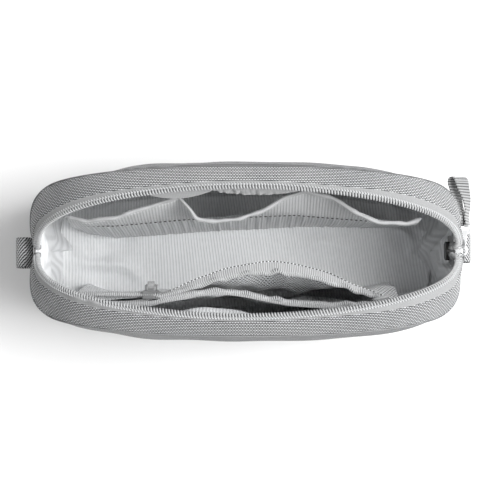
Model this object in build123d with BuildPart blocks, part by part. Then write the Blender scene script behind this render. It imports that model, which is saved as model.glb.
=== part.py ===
"""Soft zip-top pouch for cables and chargers, standing open on its base.

Millimetres. The origin is on the floor under the middle of the pouch. +X runs along the mouth towards the
end where the main slider is parked, +Y runs from the front panel to the back panel, and +Z is up.
"""

from build123d import *
from math import cos, exp, hypot, pi, radians, sin, sqrt
import os

os.makedirs("parts", exist_ok=True)

# ---- driving dimensions ---------------------------------------------------------------------------------------
HALF_LENGTH = 107.5        # outer shell, middle to end, at the belly
HALF_DEPTH = 45.6          # outer shell, middle to front, at the belly
BASE_HALF_LENGTH = 98.0    # the same at the floor
BASE_HALF_DEPTH = 31.0
SEAM_HEIGHT = 114.0        # seam between the front or back panel and the woven top band, at the middle
SEAM_CORNER_HEIGHT = 72.0  # where that seam turns down into the corner
RIM_HEIGHT = 127.0         # centre of a zip tooth row, at the middle
ZIP_END_HEIGHT = 88.0      # where the two tooth rows meet, at both ends
RIM_HALF_LENGTH = 103.0
RIM_HALF_DEPTH = 30.6      # centre of a tooth row

SHELL = 1.2                # woven outer fabric
FOAM = 2.0                 # laminated padding behind it
LINING = 0.6
GAP = 0.3                  # air between neighbouring sheets
BAND_GAP = 1.2             # the same where a top band meets a wall below it
FLOOR = 1.4                # base panel
CORNER = 0.9116            # share of the half length where the side seams run down the corners

TAPE = 0.7                 # zip tape thickness
ROW_RADIUS = 1.1           # one zip tooth row
ROW_GAP = 1.6              # between the rows where they run side by side at the end of the zip
CHAIN_FOOT = 66.0          # lower end of that straight stretch
NOTCH_HALF = 9.6           # slit in the end gusset that the straight stretch runs in
SLIDER_LENGTH = 11.0
SLIDER_WIDTH = 9.4
SLIDER_DEPTH = 4.8
SLIDER_FOOT = 68.3         # the parked slider's lower face
PULL_AXIS_X = 109.2        # the bar of the main slider's crown
PULL_HEIGHT = 73.8

PULL_SPLAY = 8.0           # degrees by which the hanging link leans away from the end wall

LOOP_WIDTH = 15.0          # webbing loops
LOOP_THICKNESS = 1.1
LOOP_REACH = 115.5         # outermost point of either loop
LOOP_ROOT = 108.0          # where its two ends meet, at the end wall


def save(node, label):
    """Names a finished piece and writes it."""
    node.part.label = label
    export_step(node.part, f"parts/{label}.step")


# ---- the shape of the pouch -----------------------------------------------------------------------------------
def half_length(z):
    """Outer half length of the shell at height z."""
    low = max(0.0, 1 - z / 50)
    high = max(0.0, (z - 60) / 54)
    return HALF_LENGTH - (HALF_LENGTH - BASE_HALF_LENGTH) * low**2.2 - 1.5 * high**2


def half_depth(z):
    """Outer half depth of the shell at height z."""
    low = max(0.0, 1 - z / 50)
    high = max(0.0, (z - 60) / 54)
    return HALF_DEPTH - (HALF_DEPTH - BASE_HALF_DEPTH) * low**2.2 - 3.2 * high**2


def lining_half_length(z):
    """Outer half length of the lining bag, which hangs inside the shell clear of the parked slider."""
    return half_length(z) - 7.0


def lining_half_depth(z):
    """Outer half depth of the lining bag."""
    low = max(0.0, 1 - z / 50)
    high = max(0.0, (z - 60) / 60)
    return 36.5 - 9.5 * low**2.2 - 3.6 * high**2


def bulge(share):
    """Depth of the plan outline at a share of its half length, 1 in the middle and 0 at the end."""
    return max(0.0, 1 - abs(share) ** 2.2) ** 0.193


def arch(x, foot, top, half, power=4):
    """Height at x of a rounded arch that stands on foot at x = half and is top high in the middle."""
    return foot + (top - foot) * sqrt(max(0.0, 1 - (abs(x) / half) ** power))


def rim_depth(x):
    """Distance of the tooth row from the middle plane at x."""
    return RIM_HALF_DEPTH * max(0.0, 1 - (abs(x) / RIM_HALF_LENGTH) ** 1.8) ** 0.38


def rim_height(x):
    return arch(x, ZIP_END_HEIGHT, RIM_HEIGHT, RIM_HALF_LENGTH)


def seam_height(x):
    return arch(x, SEAM_CORNER_HEIGHT, SEAM_HEIGHT, 101.0)


def wall_outline(z, length, depth, inset, first, last, steps=8):
    """Plan points of a wall at height z, from share first to share last of the half length, moved in by inset."""
    shares = [first + (last - first) * i / steps for i in range(steps + 1)]
    points = []
    for share in shares:
        delta = 0.004
        before = (length(z) * (share - delta), depth(z) * bulge(share - delta))
        after = (length(z) * (share + delta), depth(z) * bulge(share + delta))
        run = hypot(after[0] - before[0], after[1] - before[1])
        normal = ((after[1] - before[1]) / run, -(after[0] - before[0]) / run)
        x = length(z) * share + normal[0] * inset
        y = depth(z) * bulge(share) + normal[1] * inset
        points.append((x, y))
    return points


def wall_sheet(levels, length, depth, inset, thickness, side, top=None, share=CORNER):
    """A front (side -1) or back (side +1) wall: a sheet lofted up through levels and cut to an arched top."""
    with BuildPart() as sheet:
        for z in levels:
            outer = wall_outline(z, length, depth, inset, -share, share)
            inner = wall_outline(z, length, depth, inset + thickness, -share, share)
            with BuildSketch(Plane.XY.offset(z)):
                with BuildLine():
                    Spline(*[(x, side * y) for x, y in outer])
                    Line((outer[-1][0], side * outer[-1][1]), (inner[-1][0], side * inner[-1][1]))
                    Spline(*[(x, side * y) for x, y in reversed(inner)])
                    Line((inner[0][0], side * inner[0][1]), (outer[0][0], side * outer[0][1]))
                make_face()
        loft()
        if top:
            with BuildSketch(Plane.XZ):
                add(arched_region(top))
            extrude(amount=2 * HALF_DEPTH, both=True, mode=Mode.INTERSECT)
    return sheet


def arched_region(top, reach=HALF_LENGTH + 5):
    """Everything in the front elevation that lies under the curve z = top(x)."""
    stations = [-100, -95, -84, -60, -30, 0, 30, 60, 84, 95, 100]
    with BuildSketch(mode=Mode.PRIVATE) as region:
        with BuildLine():
            Spline(*[(x, top(x)) for x in stations])
            Polyline((100, top(100)), (reach, top(100)), (reach, -1), (-reach, -1), (-reach, top(100)), (-100, top(100)))
        make_face()
    return region.sketch


SHELL_LEVELS = [FLOOR + GAP, 14, 35, 60, 90, SEAM_HEIGHT + 2]


# ---- outer shell ----------------------------------------------------------------------------------------------
def panel_top(x):
    return seam_height(x) - GAP


front_panel = wall_sheet(SHELL_LEVELS, half_length, half_depth, 0, SHELL, -1, panel_top)
save(front_panel, "front_panel")

back_panel = wall_sheet(SHELL_LEVELS, half_length, half_depth, 0, SHELL, 1, panel_top)
save(back_panel, "back_panel")

# The back slip pocket is one more layer of shell fabric. It stands off the back panel a little and ends below the seam.
POCKET_STAND_OFF = 1.4
POCKET_DROP = 3.5

back_pocket_panel = wall_sheet(
    [FLOOR + GAP, 14, 35, 60, 90, SEAM_HEIGHT],
    half_length,
    half_depth,
    -POCKET_STAND_OFF - 0.9,
    0.9,
    1,
    lambda x: seam_height(x) - POCKET_DROP,
    share=0.80,
)
save(back_pocket_panel, "back_pocket_panel")

END_SHARE = 0.972


def floor_sheet(foot, thickness, level, length, depth, inset):
    """A flat sheet with the plan outline that the walls have at a given level."""
    with BuildPart() as sheet:
        with BuildSketch(Plane.XY.offset(foot)):
            front = wall_outline(level, length, depth, inset, -END_SHARE, END_SHARE, steps=14)
            with BuildLine():
                Spline(*[(x, y) for x, y in front])
                Line(front[-1], (front[-1][0], -front[-1][1]))
                Spline(*[(x, -y) for x, y in reversed(front)])
                Line((front[0][0], -front[0][1]), front[0])
            make_face()
        extrude(amount=thickness)
    return sheet


base_panel = floor_sheet(0, FLOOR, 0.0, half_length, half_depth, -0.4)
save(base_panel, "base_panel")


def gusset_section(z, length, depth, inset, side):
    """Plan points of an end wall, from the front corner to the back corner, pinched in at the middle."""
    shares = [0.9205, 0.963, 0.9905]
    corner = []
    for share in shares:
        x = length(z) * share - inset * share
        y = max(1.0, depth(z) * bulge(share) - inset * (1.2 - share))
        corner.append((side * x, y))
    flat = (side * (length(z) * 0.996 - inset), 11.0 * depth(z) / HALF_DEPTH)
    pinch = (side * (length(z) * 0.973 - inset), 0.0)
    back = [*corner, flat]
    return [(x, -y) for x, y in back] + [pinch] + [(x, y) for x, y in reversed(back)]


def end_wall(levels, length, depth, inset, thickness, side, notch_foot, top):
    """An end gusset (side -1 left, +1 right) with a slit cut down from its top for the end of the zip."""
    with BuildPart() as wall:
        for z in levels:
            outer = gusset_section(z, length, depth, inset, side)
            inner = gusset_section(z, length, depth, inset + thickness, side)
            with BuildSketch(Plane.XY.offset(z)):
                with BuildLine():
                    Spline(*outer)
                    Line(outer[-1], inner[-1])
                    Spline(*reversed(inner))
                    Line(inner[0], outer[0])
                make_face()
        loft()
        with BuildSketch(Plane.XY.offset(notch_foot)):
            with Locations((side * HALF_LENGTH, 0)):
                Rectangle(30, 2 * NOTCH_HALF)
        extrude(amount=top, mode=Mode.SUBTRACT)
    return wall


GUSSET_LEVELS = [FLOOR + GAP, 14, 35, 60, 86]
LEFT_NOTCH_FOOT = 79.0

left_gusset = end_wall(GUSSET_LEVELS, half_length, half_depth, 0, SHELL, -1, LEFT_NOTCH_FOOT, RIM_HEIGHT)
save(left_gusset, "left_gusset")

right_gusset = end_wall(GUSSET_LEVELS, half_length, half_depth, 0, SHELL, 1, CHAIN_FOOT - 2.5, RIM_HEIGHT)
save(right_gusset, "right_gusset")


# ---- woven top bands and zip tapes ----------------------------------------------------------------------------
def band_lines(x, side):
    """Cross-section at x: the seam, the fold between band and tape, and the tape's edge at the teeth."""
    seam_x = min(abs(x), 101.0)
    seam_z = max(seam_height(seam_x), 86.0) + BAND_GAP
    share = abs(x) / half_length(seam_z)
    seam = (half_depth(seam_z) * bulge(share), seam_z)
    teeth = (rim_depth(x) + ROW_RADIUS + 0.5, rim_height(x))
    lean = min(1.0, (RIM_HALF_LENGTH - abs(x)) / 12)
    fold = (teeth[0] + 2.2 + 1.8 * lean, teeth[1] - 1.2 - 1.0 * lean)
    return [(side * y, z) for y, z in (seam, fold, teeth)]


def strip(stations, corners, thickness):
    """A thin strip lofted along X. corners(x) gives the two edges of its outer face in the YZ plane."""
    with BuildPart() as piece:
        for x in stations:
            (y0, z0), (y1, z1) = corners(x)
            run = hypot(y1 - y0, z1 - z0)
            inward = 1 if y0 > 0 else -1
            ny, nz = inward * (z0 - z1) / run * thickness, inward * (y1 - y0) / run * thickness
            with BuildSketch(Plane.YZ.offset(x)):
                with BuildLine():
                    Polyline((y0, z0), (y1, z1), (y1 + ny, z1 + nz), (y0 + ny, z0 + nz), close=True)
                make_face()
        loft()
    return piece


def eased(low_edge, high_edge, start, end):
    """The stretch between two shares of the way from one edge to the other."""
    return [
        tuple(low + (high - low) * share for low, high in zip(low_edge, high_edge))
        for share in (start, end)
    ]


BAND_STATIONS = [-101, -96, -84, -62, -32, 0, 32, 62, 84, 96, 101]

for name, side in (("front", -1), ("rear", 1)):
    band = strip(BAND_STATIONS, lambda x: eased(*band_lines(x, side)[:2], 0.0, 0.97), SHELL)
    save(band, f"{name}_band")
    tape = strip(BAND_STATIONS, lambda x: eased(*band_lines(x, side)[1:], 0.06, 0.94), TAPE)
    save(tape, f"{name}_zip_tape")


# ---- main zip: tooth rows, end tapes and stops ----------------------------------------------------------------
ROW_Y = ROW_GAP / 2 + ROW_RADIUS
MEET_RADIUS = 6.0          # bend where the rows part above the slider


def rim_point(x, side):
    return (x, side * rim_depth(x), rim_height(x))


def row_path(side):
    """One tooth row: over the mouth in even steps, then straight down the slit at the slider's end."""
    shares = [-0.985, -0.93, -0.80, -0.60, -0.36, -0.12, 0.12, 0.36, 0.60, 0.80, 0.93, 0.985]
    over = [rim_point(RIM_HALF_LENGTH * share, side) for share in shares]
    meet = (RIM_HALF_LENGTH, side * ROW_Y, ZIP_END_HEIGHT + 1)
    foot = (RIM_HALF_LENGTH, side * ROW_Y, CHAIN_FOOT + 2.3)
    left_meet = (-RIM_HALF_LENGTH, side * ROW_Y, ZIP_END_HEIGHT + 1)
    return [left_meet, *over, meet, foot]


def largest_radii(points):
    """For each corner, the radius of the arc that uses 0.45 of the shorter run beside it."""
    radii = []
    for before, corner, after in zip(points, points[1:], points[2:]):
        here = Vector(corner) - Vector(before)
        there = Vector(after) - Vector(corner)
        half_turn = radians(here.get_angle(there)) / 2
        radii.append(0.45 * min(here.length, there.length) / (sin(half_turn) / cos(half_turn)))
    radii[-1] = MEET_RADIUS
    return radii


for name, side in (("front", -1), ("rear", 1)):
    with BuildPart() as teeth:
        with BuildLine() as path:
            route = row_path(side)
            FilletPolyline(*route, radius=largest_radii(route))
        with BuildSketch(Plane(origin=path.line @ 0, z_dir=path.line % 0)):
            Circle(ROW_RADIUS)
        sweep()
    save(teeth, f"{name}_zip_teeth")

with BuildPart() as zip_end_tapes:
    tape_middle = (NOTCH_HALF - GAP + 2 * ROW_Y - ROW_GAP / 2 + GAP) / 2
    tape_width = NOTCH_HALF - GAP - (2 * ROW_Y - ROW_GAP / 2 + GAP)
    with Locations(
        (RIM_HALF_LENGTH, tape_middle, (CHAIN_FOOT + 86) / 2),
        (RIM_HALF_LENGTH, -tape_middle, (CHAIN_FOOT + 86) / 2),
    ):
        Box(TAPE, tape_width, 86 - CHAIN_FOOT - 1)
save(zip_end_tapes, "zip_end_tapes")

with BuildPart() as zip_bottom_stop:
    with BuildSketch(Plane.XY.offset(CHAIN_FOOT)):
        with Locations((RIM_HALF_LENGTH, 0)):
            RectangleRounded(3.4, 6.4, 0.8)
    extrude(amount=2.0)
save(zip_bottom_stop, "zip_bottom_stop")

with BuildPart() as zip_top_stops:
    for side in (-1, 1):
        with BuildSketch(Plane.XY.offset(ZIP_END_HEIGHT - 2.2)):
            with Locations((-RIM_HALF_LENGTH, side * ROW_Y)):
                RectangleRounded(2.8, 2.4, 0.6)
        extrude(amount=2.4)
save(zip_top_stops, "zip_top_stops")


# ---- main slider, its crown, pull link and ribbon -------------------------------------------------------------
PLATE = 1.0
CHANNEL = SLIDER_DEPTH - 2 * PLATE
FLANGE = 0.9
FLANGE_GAP = 1.2
WEDGE_WIDTH = 1.0

with BuildPart() as main_slider_body:
    slider_top = SLIDER_FOOT + SLIDER_LENGTH
    for outward in (-1, 1):
        plate_x = RIM_HALF_LENGTH + outward * (CHANNEL + PLATE) / 2
        with BuildSketch(Plane.YZ.offset(plate_x - PLATE / 2)):
            with BuildLine():
                Polyline(
                    (-SLIDER_WIDTH / 2, slider_top),
                    (SLIDER_WIDTH / 2, slider_top),
                    (SLIDER_WIDTH / 2, SLIDER_FOOT + 4),
                    (SLIDER_WIDTH / 2 - 1.1, SLIDER_FOOT),
                    (1.1 - SLIDER_WIDTH / 2, SLIDER_FOOT),
                    (-SLIDER_WIDTH / 2, SLIDER_FOOT + 4),
                    close=True,
                )
            make_face()
        extrude(amount=PLATE)
        flange_x = RIM_HALF_LENGTH + outward * (CHANNEL + FLANGE_GAP) / 4
        for side in (-1, 1):
            with Locations((flange_x, side * (SLIDER_WIDTH - FLANGE) / 2, SLIDER_FOOT + SLIDER_LENGTH / 2 + 2)):
                Box((CHANNEL - FLANGE_GAP) / 2, FLANGE, SLIDER_LENGTH - 4)
    with Locations((RIM_HALF_LENGTH, 0, slider_top - 1.6)):
        Box(CHANNEL, WEDGE_WIDTH, 3.0)
    fillet(main_slider_body.faces().sort_by(Axis.X)[-1].edges(), 0.4)
    fillet(main_slider_body.faces().sort_by(Axis.X)[0].edges(), 0.4)
save(main_slider_body, "main_slider_body")

CROWN_BAR = 1.2            # thickness of the crown's bar
CROWN_WIDTH = 2.0
CROWN_OPENING = 4.8        # inside height of the crown
crown_foot = RIM_HALF_LENGTH + SLIDER_DEPTH / 2
crown_tip = PULL_AXIS_X + CROWN_BAR / 2

with BuildPart() as main_slider_crown:
    with BuildSketch(Plane.XZ.offset(-CROWN_WIDTH / 2)):
        with Locations(((crown_foot + crown_tip) / 2, PULL_HEIGHT)):
            Rectangle(crown_tip - crown_foot, CROWN_OPENING + 2 * CROWN_BAR)
        with Locations(((crown_foot + crown_tip) / 2 - CROWN_BAR, PULL_HEIGHT)):
            Rectangle(crown_tip - crown_foot, CROWN_OPENING, mode=Mode.SUBTRACT)
        fillet(vertices().group_by(Axis.X)[-1], 1.1)
    extrude(amount=CROWN_WIDTH)
save(main_slider_crown, "main_slider_crown")

EYE_HOLE = 1.55
EYE_RADIUS = 3.0
LINK_THICKNESS = 1.3
LINK_NECK = 3.4
LINK_WIDTH = 6.0
LINK_LENGTH = 13.9         # crown bar to the far edge of the link
SLOT_LENGTH = 1.9
SLOT_WIDTH = 4.2
END_BAR = 1.5
lean = radians(PULL_SPLAY)
link_plane = Plane(
    origin=(PULL_AXIS_X, 0, PULL_HEIGHT - LINK_THICKNESS / 2),
    x_dir=(cos(lean), -sin(lean), 0),
    z_dir=(0, 0, 1),
)

with BuildPart() as main_pull_link:
    with BuildSketch(link_plane):
        Circle(EYE_RADIUS)
        with Locations((0, 6)):
            Rectangle(LINK_NECK, 9)
        with Locations((0, LINK_LENGTH - 2.7)):
            RectangleRounded(LINK_WIDTH, 5.4, 1.2)
        Circle(EYE_HOLE, mode=Mode.SUBTRACT)
        with Locations((0, LINK_LENGTH - END_BAR - SLOT_LENGTH / 2)):
            Rectangle(SLOT_WIDTH, SLOT_LENGTH, mode=Mode.SUBTRACT)
    extrude(amount=LINK_THICKNESS)
    fillet(main_pull_link.faces().filter_by(Axis.Z).sort_by(Axis.Z)[-1].outer_wire().edges(), 0.3)
    fillet(main_pull_link.faces().filter_by(Axis.Z).sort_by(Axis.Z)[0].outer_wire().edges(), 0.3)
save(main_pull_link, "main_pull_link")

# The ribbon is a loop of grosgrain, stitched to a small ring of itself round the link's end bar. It lies along the
# end wall, rolled so that its upper edges lean on the pouch.
RIBBON_RING = 1.4          # inside radius of the ring
RIBBON_WEB = 0.7           # one layer
RIBBON_WIDTH = 9.4
RIBBON_GAP = 3.0           # between the two layers
RIBBON_LENGTH = 26.0
RIBBON_ROLL = 20.0         # degrees from upright
ring_reach = LINK_LENGTH - END_BAR / 2
ring_centre = Vector(
    PULL_AXIS_X + ring_reach * sin(lean),
    ring_reach * cos(lean),
    PULL_HEIGHT,
)
ribbon_tip = Vector(110.8, 37.0, 70.6)
ribbon_run = (ribbon_tip - ring_centre).normalized()
roll = radians(RIBBON_ROLL)
ribbon_across = Vector(-sin(roll), 0, cos(roll))
ribbon_face = ribbon_across.cross(ribbon_run).normalized()
ribbon_plane = Plane(origin=ring_centre, x_dir=ribbon_run, z_dir=ribbon_run.cross(ribbon_face))

with BuildPart() as ribbon_pull:
    with BuildSketch(Plane(origin=ring_centre, x_dir=(0, 1, 0), z_dir=(cos(lean), -sin(lean), 0))):
        Circle(RIBBON_RING + RIBBON_WEB)
        Circle(RIBBON_RING, mode=Mode.SUBTRACT)
    extrude(amount=1.7, both=True)
    with BuildSketch(ribbon_plane):
        start = RIBBON_RING + RIBBON_WEB / 2
        with Locations((start + 1.6, 0)):
            Rectangle(3.2, 1.4)
    extrude(amount=1.8, both=True)
    with BuildSketch(ribbon_plane):
        half_gap = RIBBON_GAP / 2
        with BuildLine():
            Polyline((start + 2.4, 0.9), (start + 5, half_gap + RIBBON_WEB), (RIBBON_LENGTH - 3, half_gap + RIBBON_WEB))
            ThreePointArc(
                (RIBBON_LENGTH - 3, half_gap + RIBBON_WEB),
                (RIBBON_LENGTH - 3 + half_gap + RIBBON_WEB, 0),
                (RIBBON_LENGTH - 3, -half_gap - RIBBON_WEB),
            )
            Polyline((RIBBON_LENGTH - 3, -half_gap - RIBBON_WEB), (start + 5, -half_gap - RIBBON_WEB), (start + 2.4, -0.9))
            Line((start + 2.4, -0.9), (start + 2.4, 0.9))
        make_face()
        with BuildLine():
            Polyline((start + 3.8, 0.3), (start + 5.4, half_gap), (RIBBON_LENGTH - 3, half_gap))
            ThreePointArc((RIBBON_LENGTH - 3, half_gap), (RIBBON_LENGTH - 3 + half_gap, 0), (RIBBON_LENGTH - 3, -half_gap))
            Polyline((RIBBON_LENGTH - 3, -half_gap), (start + 5.4, -half_gap), (start + 3.8, -0.3))
            Line((start + 3.8, -0.3), (start + 3.8, 0.3))
        make_face(mode=Mode.SUBTRACT)
    extrude(amount=RIBBON_WIDTH / 2, both=True)
save(ribbon_pull, "ribbon_pull")


# ---- webbing loops --------------------------------------------------------------------------------------------
LOOP_BEND = 2.9            # outer radius of the loop's two bends
LOOP_SPREAD = 2.2          # their centres, above and below the root
ROOT_RADIUS = 1.0
LEFT_LOOP_HEIGHT = 74.0
RIGHT_LOOP_HEIGHT = 57.0
LEFT_LOOP_Y = -1.0
RIGHT_LOOP_Y = 1.5

for name, side, height, middle in (
    ("left", -1, LEFT_LOOP_HEIGHT, LEFT_LOOP_Y),
    ("right", 1, RIGHT_LOOP_HEIGHT, RIGHT_LOOP_Y),
):
    with BuildPart() as loop:
        with BuildSketch(Plane.XZ.offset(-middle)):
            bends = [(side * (LOOP_REACH - LOOP_BEND), height + up) for up in (-LOOP_SPREAD, LOOP_SPREAD)]
            with Locations(*bends):
                Circle(LOOP_BEND)
            with Locations((side * LOOP_ROOT, height)):
                Circle(ROOT_RADIUS)
            make_hull()
            with Locations(*bends):
                Circle(LOOP_BEND - LOOP_THICKNESS, mode=Mode.SUBTRACT)
            with Locations((side * (LOOP_REACH - LOOP_BEND), height)):
                Rectangle(2 * (LOOP_BEND - LOOP_THICKNESS), 2 * LOOP_SPREAD, mode=Mode.SUBTRACT)
            upper = [
                (side * (LOOP_ROOT + 0.35), height + 0.2),
                (side * (LOOP_ROOT + 3.27), height + 3.42),
                (side * (LOOP_REACH - LOOP_BEND), height + 3.42),
            ]
            lower = [(x, 2 * height - z) for x, z in reversed(upper)]
            with BuildLine():
                Polyline(*upper, *lower, close=True)
            make_face(mode=Mode.SUBTRACT)
        extrude(amount=LOOP_WIDTH / 2, both=True)
    save(loop, f"{name}_loop")


# ---- padding --------------------------------------------------------------------------------------------------
FOAM_LEVELS = [FLOOR + GAP + FOAM + 1, 14, 35, 60, 90, SEAM_HEIGHT]


def foam_top(x):
    return seam_height(x) - 7.0


for name, side in (("front", -1), ("back", 1)):
    foam = wall_sheet(FOAM_LEVELS, half_length, half_depth, SHELL + 2 * GAP, FOAM, side, foam_top, share=0.87)
    save(foam, f"{name}_foam")

BASE_FOAM = 1.5
base_foam = floor_sheet(FLOOR + GAP, BASE_FOAM, 1.0, half_length, half_depth, SHELL + 2.0)
save(base_foam, "base_foam")


# ---- lining bag -----------------------------------------------------------------------------------------------
LINING_FOOT = FLOOR + 2 * GAP + BASE_FOAM
floor_lining = floor_sheet(LINING_FOOT, LINING, 4.0, lining_half_length, lining_half_depth, 0.3)
save(floor_lining, "floor_lining")

LINING_LEVELS = [LINING_FOOT + LINING + GAP, 14, 35, 60, 90, RIM_HEIGHT]
LINING_TOP = 121.5


def lining_top(x):
    return arch(x, 80.0, LINING_TOP, 99.0)


for name, side in (("front", -1), ("rear", 1)):
    wall = wall_sheet(LINING_LEVELS, lining_half_length, lining_half_depth, 0, LINING, side, lining_top)
    save(wall, f"{name}_lining")

END_LINING_LEVELS = [LINING_FOOT + LINING + GAP, 14, 35, 60, 80]
for name, side in (("left", -1), ("right", 1)):
    wall = end_wall(END_LINING_LEVELS, lining_half_length, lining_half_depth, 0, LINING, side, RIM_HEIGHT, RIM_HEIGHT)
    save(wall, f"{name}_lining")


# ---- rear organizer: one panel with three gusseted pockets and a bound edge -----------------------------------
ORGANIZER = 0.7
BINDING_HEIGHT = 4.0
BINDING_THICKNESS = 2.2
ORGANIZER_TOP = 105.0
POCKET_MOUTH = [
    (-88.0, 17.0),
    (-76.0, 14.6),
    (-62.0, 17.2),
    (-46.0, 21.2),
    (-32.5, 25.2),
    (-26.0, 18.0),
    (-14.0, 14.8),
    (2.0, 17.6),
    (18.0, 23.6),
    (32.0, 28.0),
    (50.0, 21.2),
    (66.0, 14.6),
    (78.0, 13.8),
    (86.5, 17.4),
]
POCKET_FOOT_Y = 13.0       # where the panel is stitched to the floor
ORGANIZER_LEVELS = [LINING_FOOT + LINING + GAP, 50, ORGANIZER_TOP + BINDING_HEIGHT + 2]


def organizer_point(index, z):
    """Plan point of the organizer panel at height z: straight at the floor, waved at the mouth."""
    x, y = POCKET_MOUTH[index]
    share = (z / ORGANIZER_TOP) ** 1.4
    foot = POCKET_FOOT_Y if abs(x) < 80 else POCKET_FOOT_Y - 1.5
    return (x * (0.95 + 0.05 * share), foot + (y - foot) * share)


def organizer_top(x):
    return arch(x, 86.0, ORGANIZER_TOP, 99.0)


def organizer_sheet(thickness):
    """The organizer panel's full sheet, before its top edge is cut."""
    with BuildPart() as sheet:
        for z in ORGANIZER_LEVELS:
            middle = [organizer_point(i, z) for i in range(len(POCKET_MOUTH))]
            near = [(x, y - thickness / 2) for x, y in middle]
            far = [(x, y + thickness / 2) for x, y in reversed(middle)]
            with BuildSketch(Plane.XY.offset(z)):
                with BuildLine():
                    Spline(*near)
                    Line(near[-1], far[0])
                    Spline(*far)
                    Line(far[-1], near[0])
                make_face()
        loft()
    return sheet.part


panel_sheet = organizer_sheet(ORGANIZER)
binding_sheet = organizer_sheet(BINDING_THICKNESS)

with BuildPart() as organizer_panel:
    add(panel_sheet)
    with BuildSketch(Plane.XZ):
        add(arched_region(organizer_top))
    extrude(amount=HALF_DEPTH, both=True, mode=Mode.INTERSECT)
save(organizer_panel, "organizer_panel")

with BuildPart() as organizer_binding:
    add(binding_sheet)
    with BuildSketch(Plane.XZ):
        add(arched_region(lambda x: organizer_top(x) + BINDING_HEIGHT))
        add(arched_region(lambda x: organizer_top(x) + 0.05), mode=Mode.SUBTRACT)
    extrude(amount=HALF_DEPTH, both=True, mode=Mode.INTERSECT)
save(organizer_binding, "organizer_binding")


# ---- front pockets: a mesh pocket with its own zip, and an open slip pocket behind it --------------------------
CHAIN_Y = -21.4            # the closed stretch of the mesh pocket's zip
CHAIN_Z = 103.0
CHAIN_START = -84.0
CHAIN_END = -36.0
MESH_END = 76.0
MESH_ROW = 0.8
MESH_ROW_OFFSET = 1.4
MESH_TAPE = 0.4
MESH = 0.5


def mesh_mouth(x):
    """Plan line of the mesh panel's top edge, which stands open towards the middle of the pouch."""
    return -24.5 + 19.3 * max(0.0, 1 - ((x - 12) / 71) ** 2) ** 2


DIVIDER_GAPE = 6.8          # how far the divider's mouth is pulled in at its widest
DIVIDER_GAPE_X = -13.0
DIVIDER_GAPE_SPREAD = 28.0


def divider_mouth(x):
    """Plan line of the divider's top edge."""
    gape = DIVIDER_GAPE * exp(-(((x - DIVIDER_GAPE_X) / DIVIDER_GAPE_SPREAD) ** 2))
    return -28.0 * (1 - (abs(x) / 100) ** 5) ** 0.2 + gape


def divider_foot(x):
    """Plan line along which the divider is stitched to the floor."""
    return -25.0 * (1 - (abs(x) / 92) ** 4) ** 0.3


def mesh_foot(x):
    return divider_foot(x) + 4.0


def leaned(mouth, foot, z):
    """Plan line at height z of a wall that leans from its stitched foot to its mouth."""
    share = (z / CHAIN_Z) ** 1.5
    return lambda x: foot(x) + (mouth(x) - foot(x)) * share


def pocket_wall(levels, mouth, foot, thickness, stations, region):
    """A pocket wall lofted from its straight foot to its curved mouth, cut by a region of the front elevation."""
    with BuildPart() as sheet:
        for z in levels:
            curve = leaned(mouth, foot, z)
            near = [(x, curve(x) - thickness / 2) for x in stations]
            far = [(x, curve(x) + thickness / 2) for x in reversed(stations)]
            with BuildSketch(Plane.XY.offset(z)):
                with BuildLine():
                    Spline(*near)
                    Line(near[-1], far[0])
                    Spline(*far)
                    Line(far[-1], near[0])
                make_face()
        loft()
        with BuildSketch(Plane.XZ):
            with BuildLine():
                Polyline(*region, close=True)
            make_face()
        extrude(amount=HALF_DEPTH, both=True, mode=Mode.INTERSECT)
    return sheet


POCKET_LEVELS = [LINING_FOOT + LINING + GAP, 35, 70, CHAIN_Z + 4]
MESH_TOP = CHAIN_Z + 0.5
CHAIN_LOW = CHAIN_Z - 7.0
pocket_region = [
    (-86, 0),
    (MESH_END, 0),
    (MESH_END, MESH_TOP),
    (CHAIN_END + 3, MESH_TOP),
    (CHAIN_END - 3, CHAIN_LOW),
    (-86, CHAIN_LOW),
]
mesh_stations = [-84, -66, -48, -36, -24, -10, 4, 18, 32, 46, 60, 70, MESH_END]
mesh_panel = pocket_wall(POCKET_LEVELS, mesh_mouth, mesh_foot, MESH, mesh_stations, pocket_region)
save(mesh_panel, "mesh_panel")

slip_divider = pocket_wall(POCKET_LEVELS, divider_mouth, divider_foot, LINING, mesh_stations, pocket_region)
save(slip_divider, "slip_divider")

INNER_TAPE = 5.0
OUTER_TAPE = 2.0
TAPE_LEVEL = MESH_TOP + GAP
MESH_ZIP_END = 66.0


def inner_row(x):
    """Plan line of the tooth row on the mesh panel's tape, which narrows towards both ends."""
    return mesh_mouth(x) - INNER_TAPE * max(0.3, 1 - ((x - 12) / 62) ** 2)


def outer_row(x):
    """Plan line of the tooth row on the divider's tape."""
    return divider_mouth(x) + OUTER_TAPE


open_stations = [-30, -20, -8, 4, 16, 28, 40, 50, 59, MESH_ZIP_END]

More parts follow.
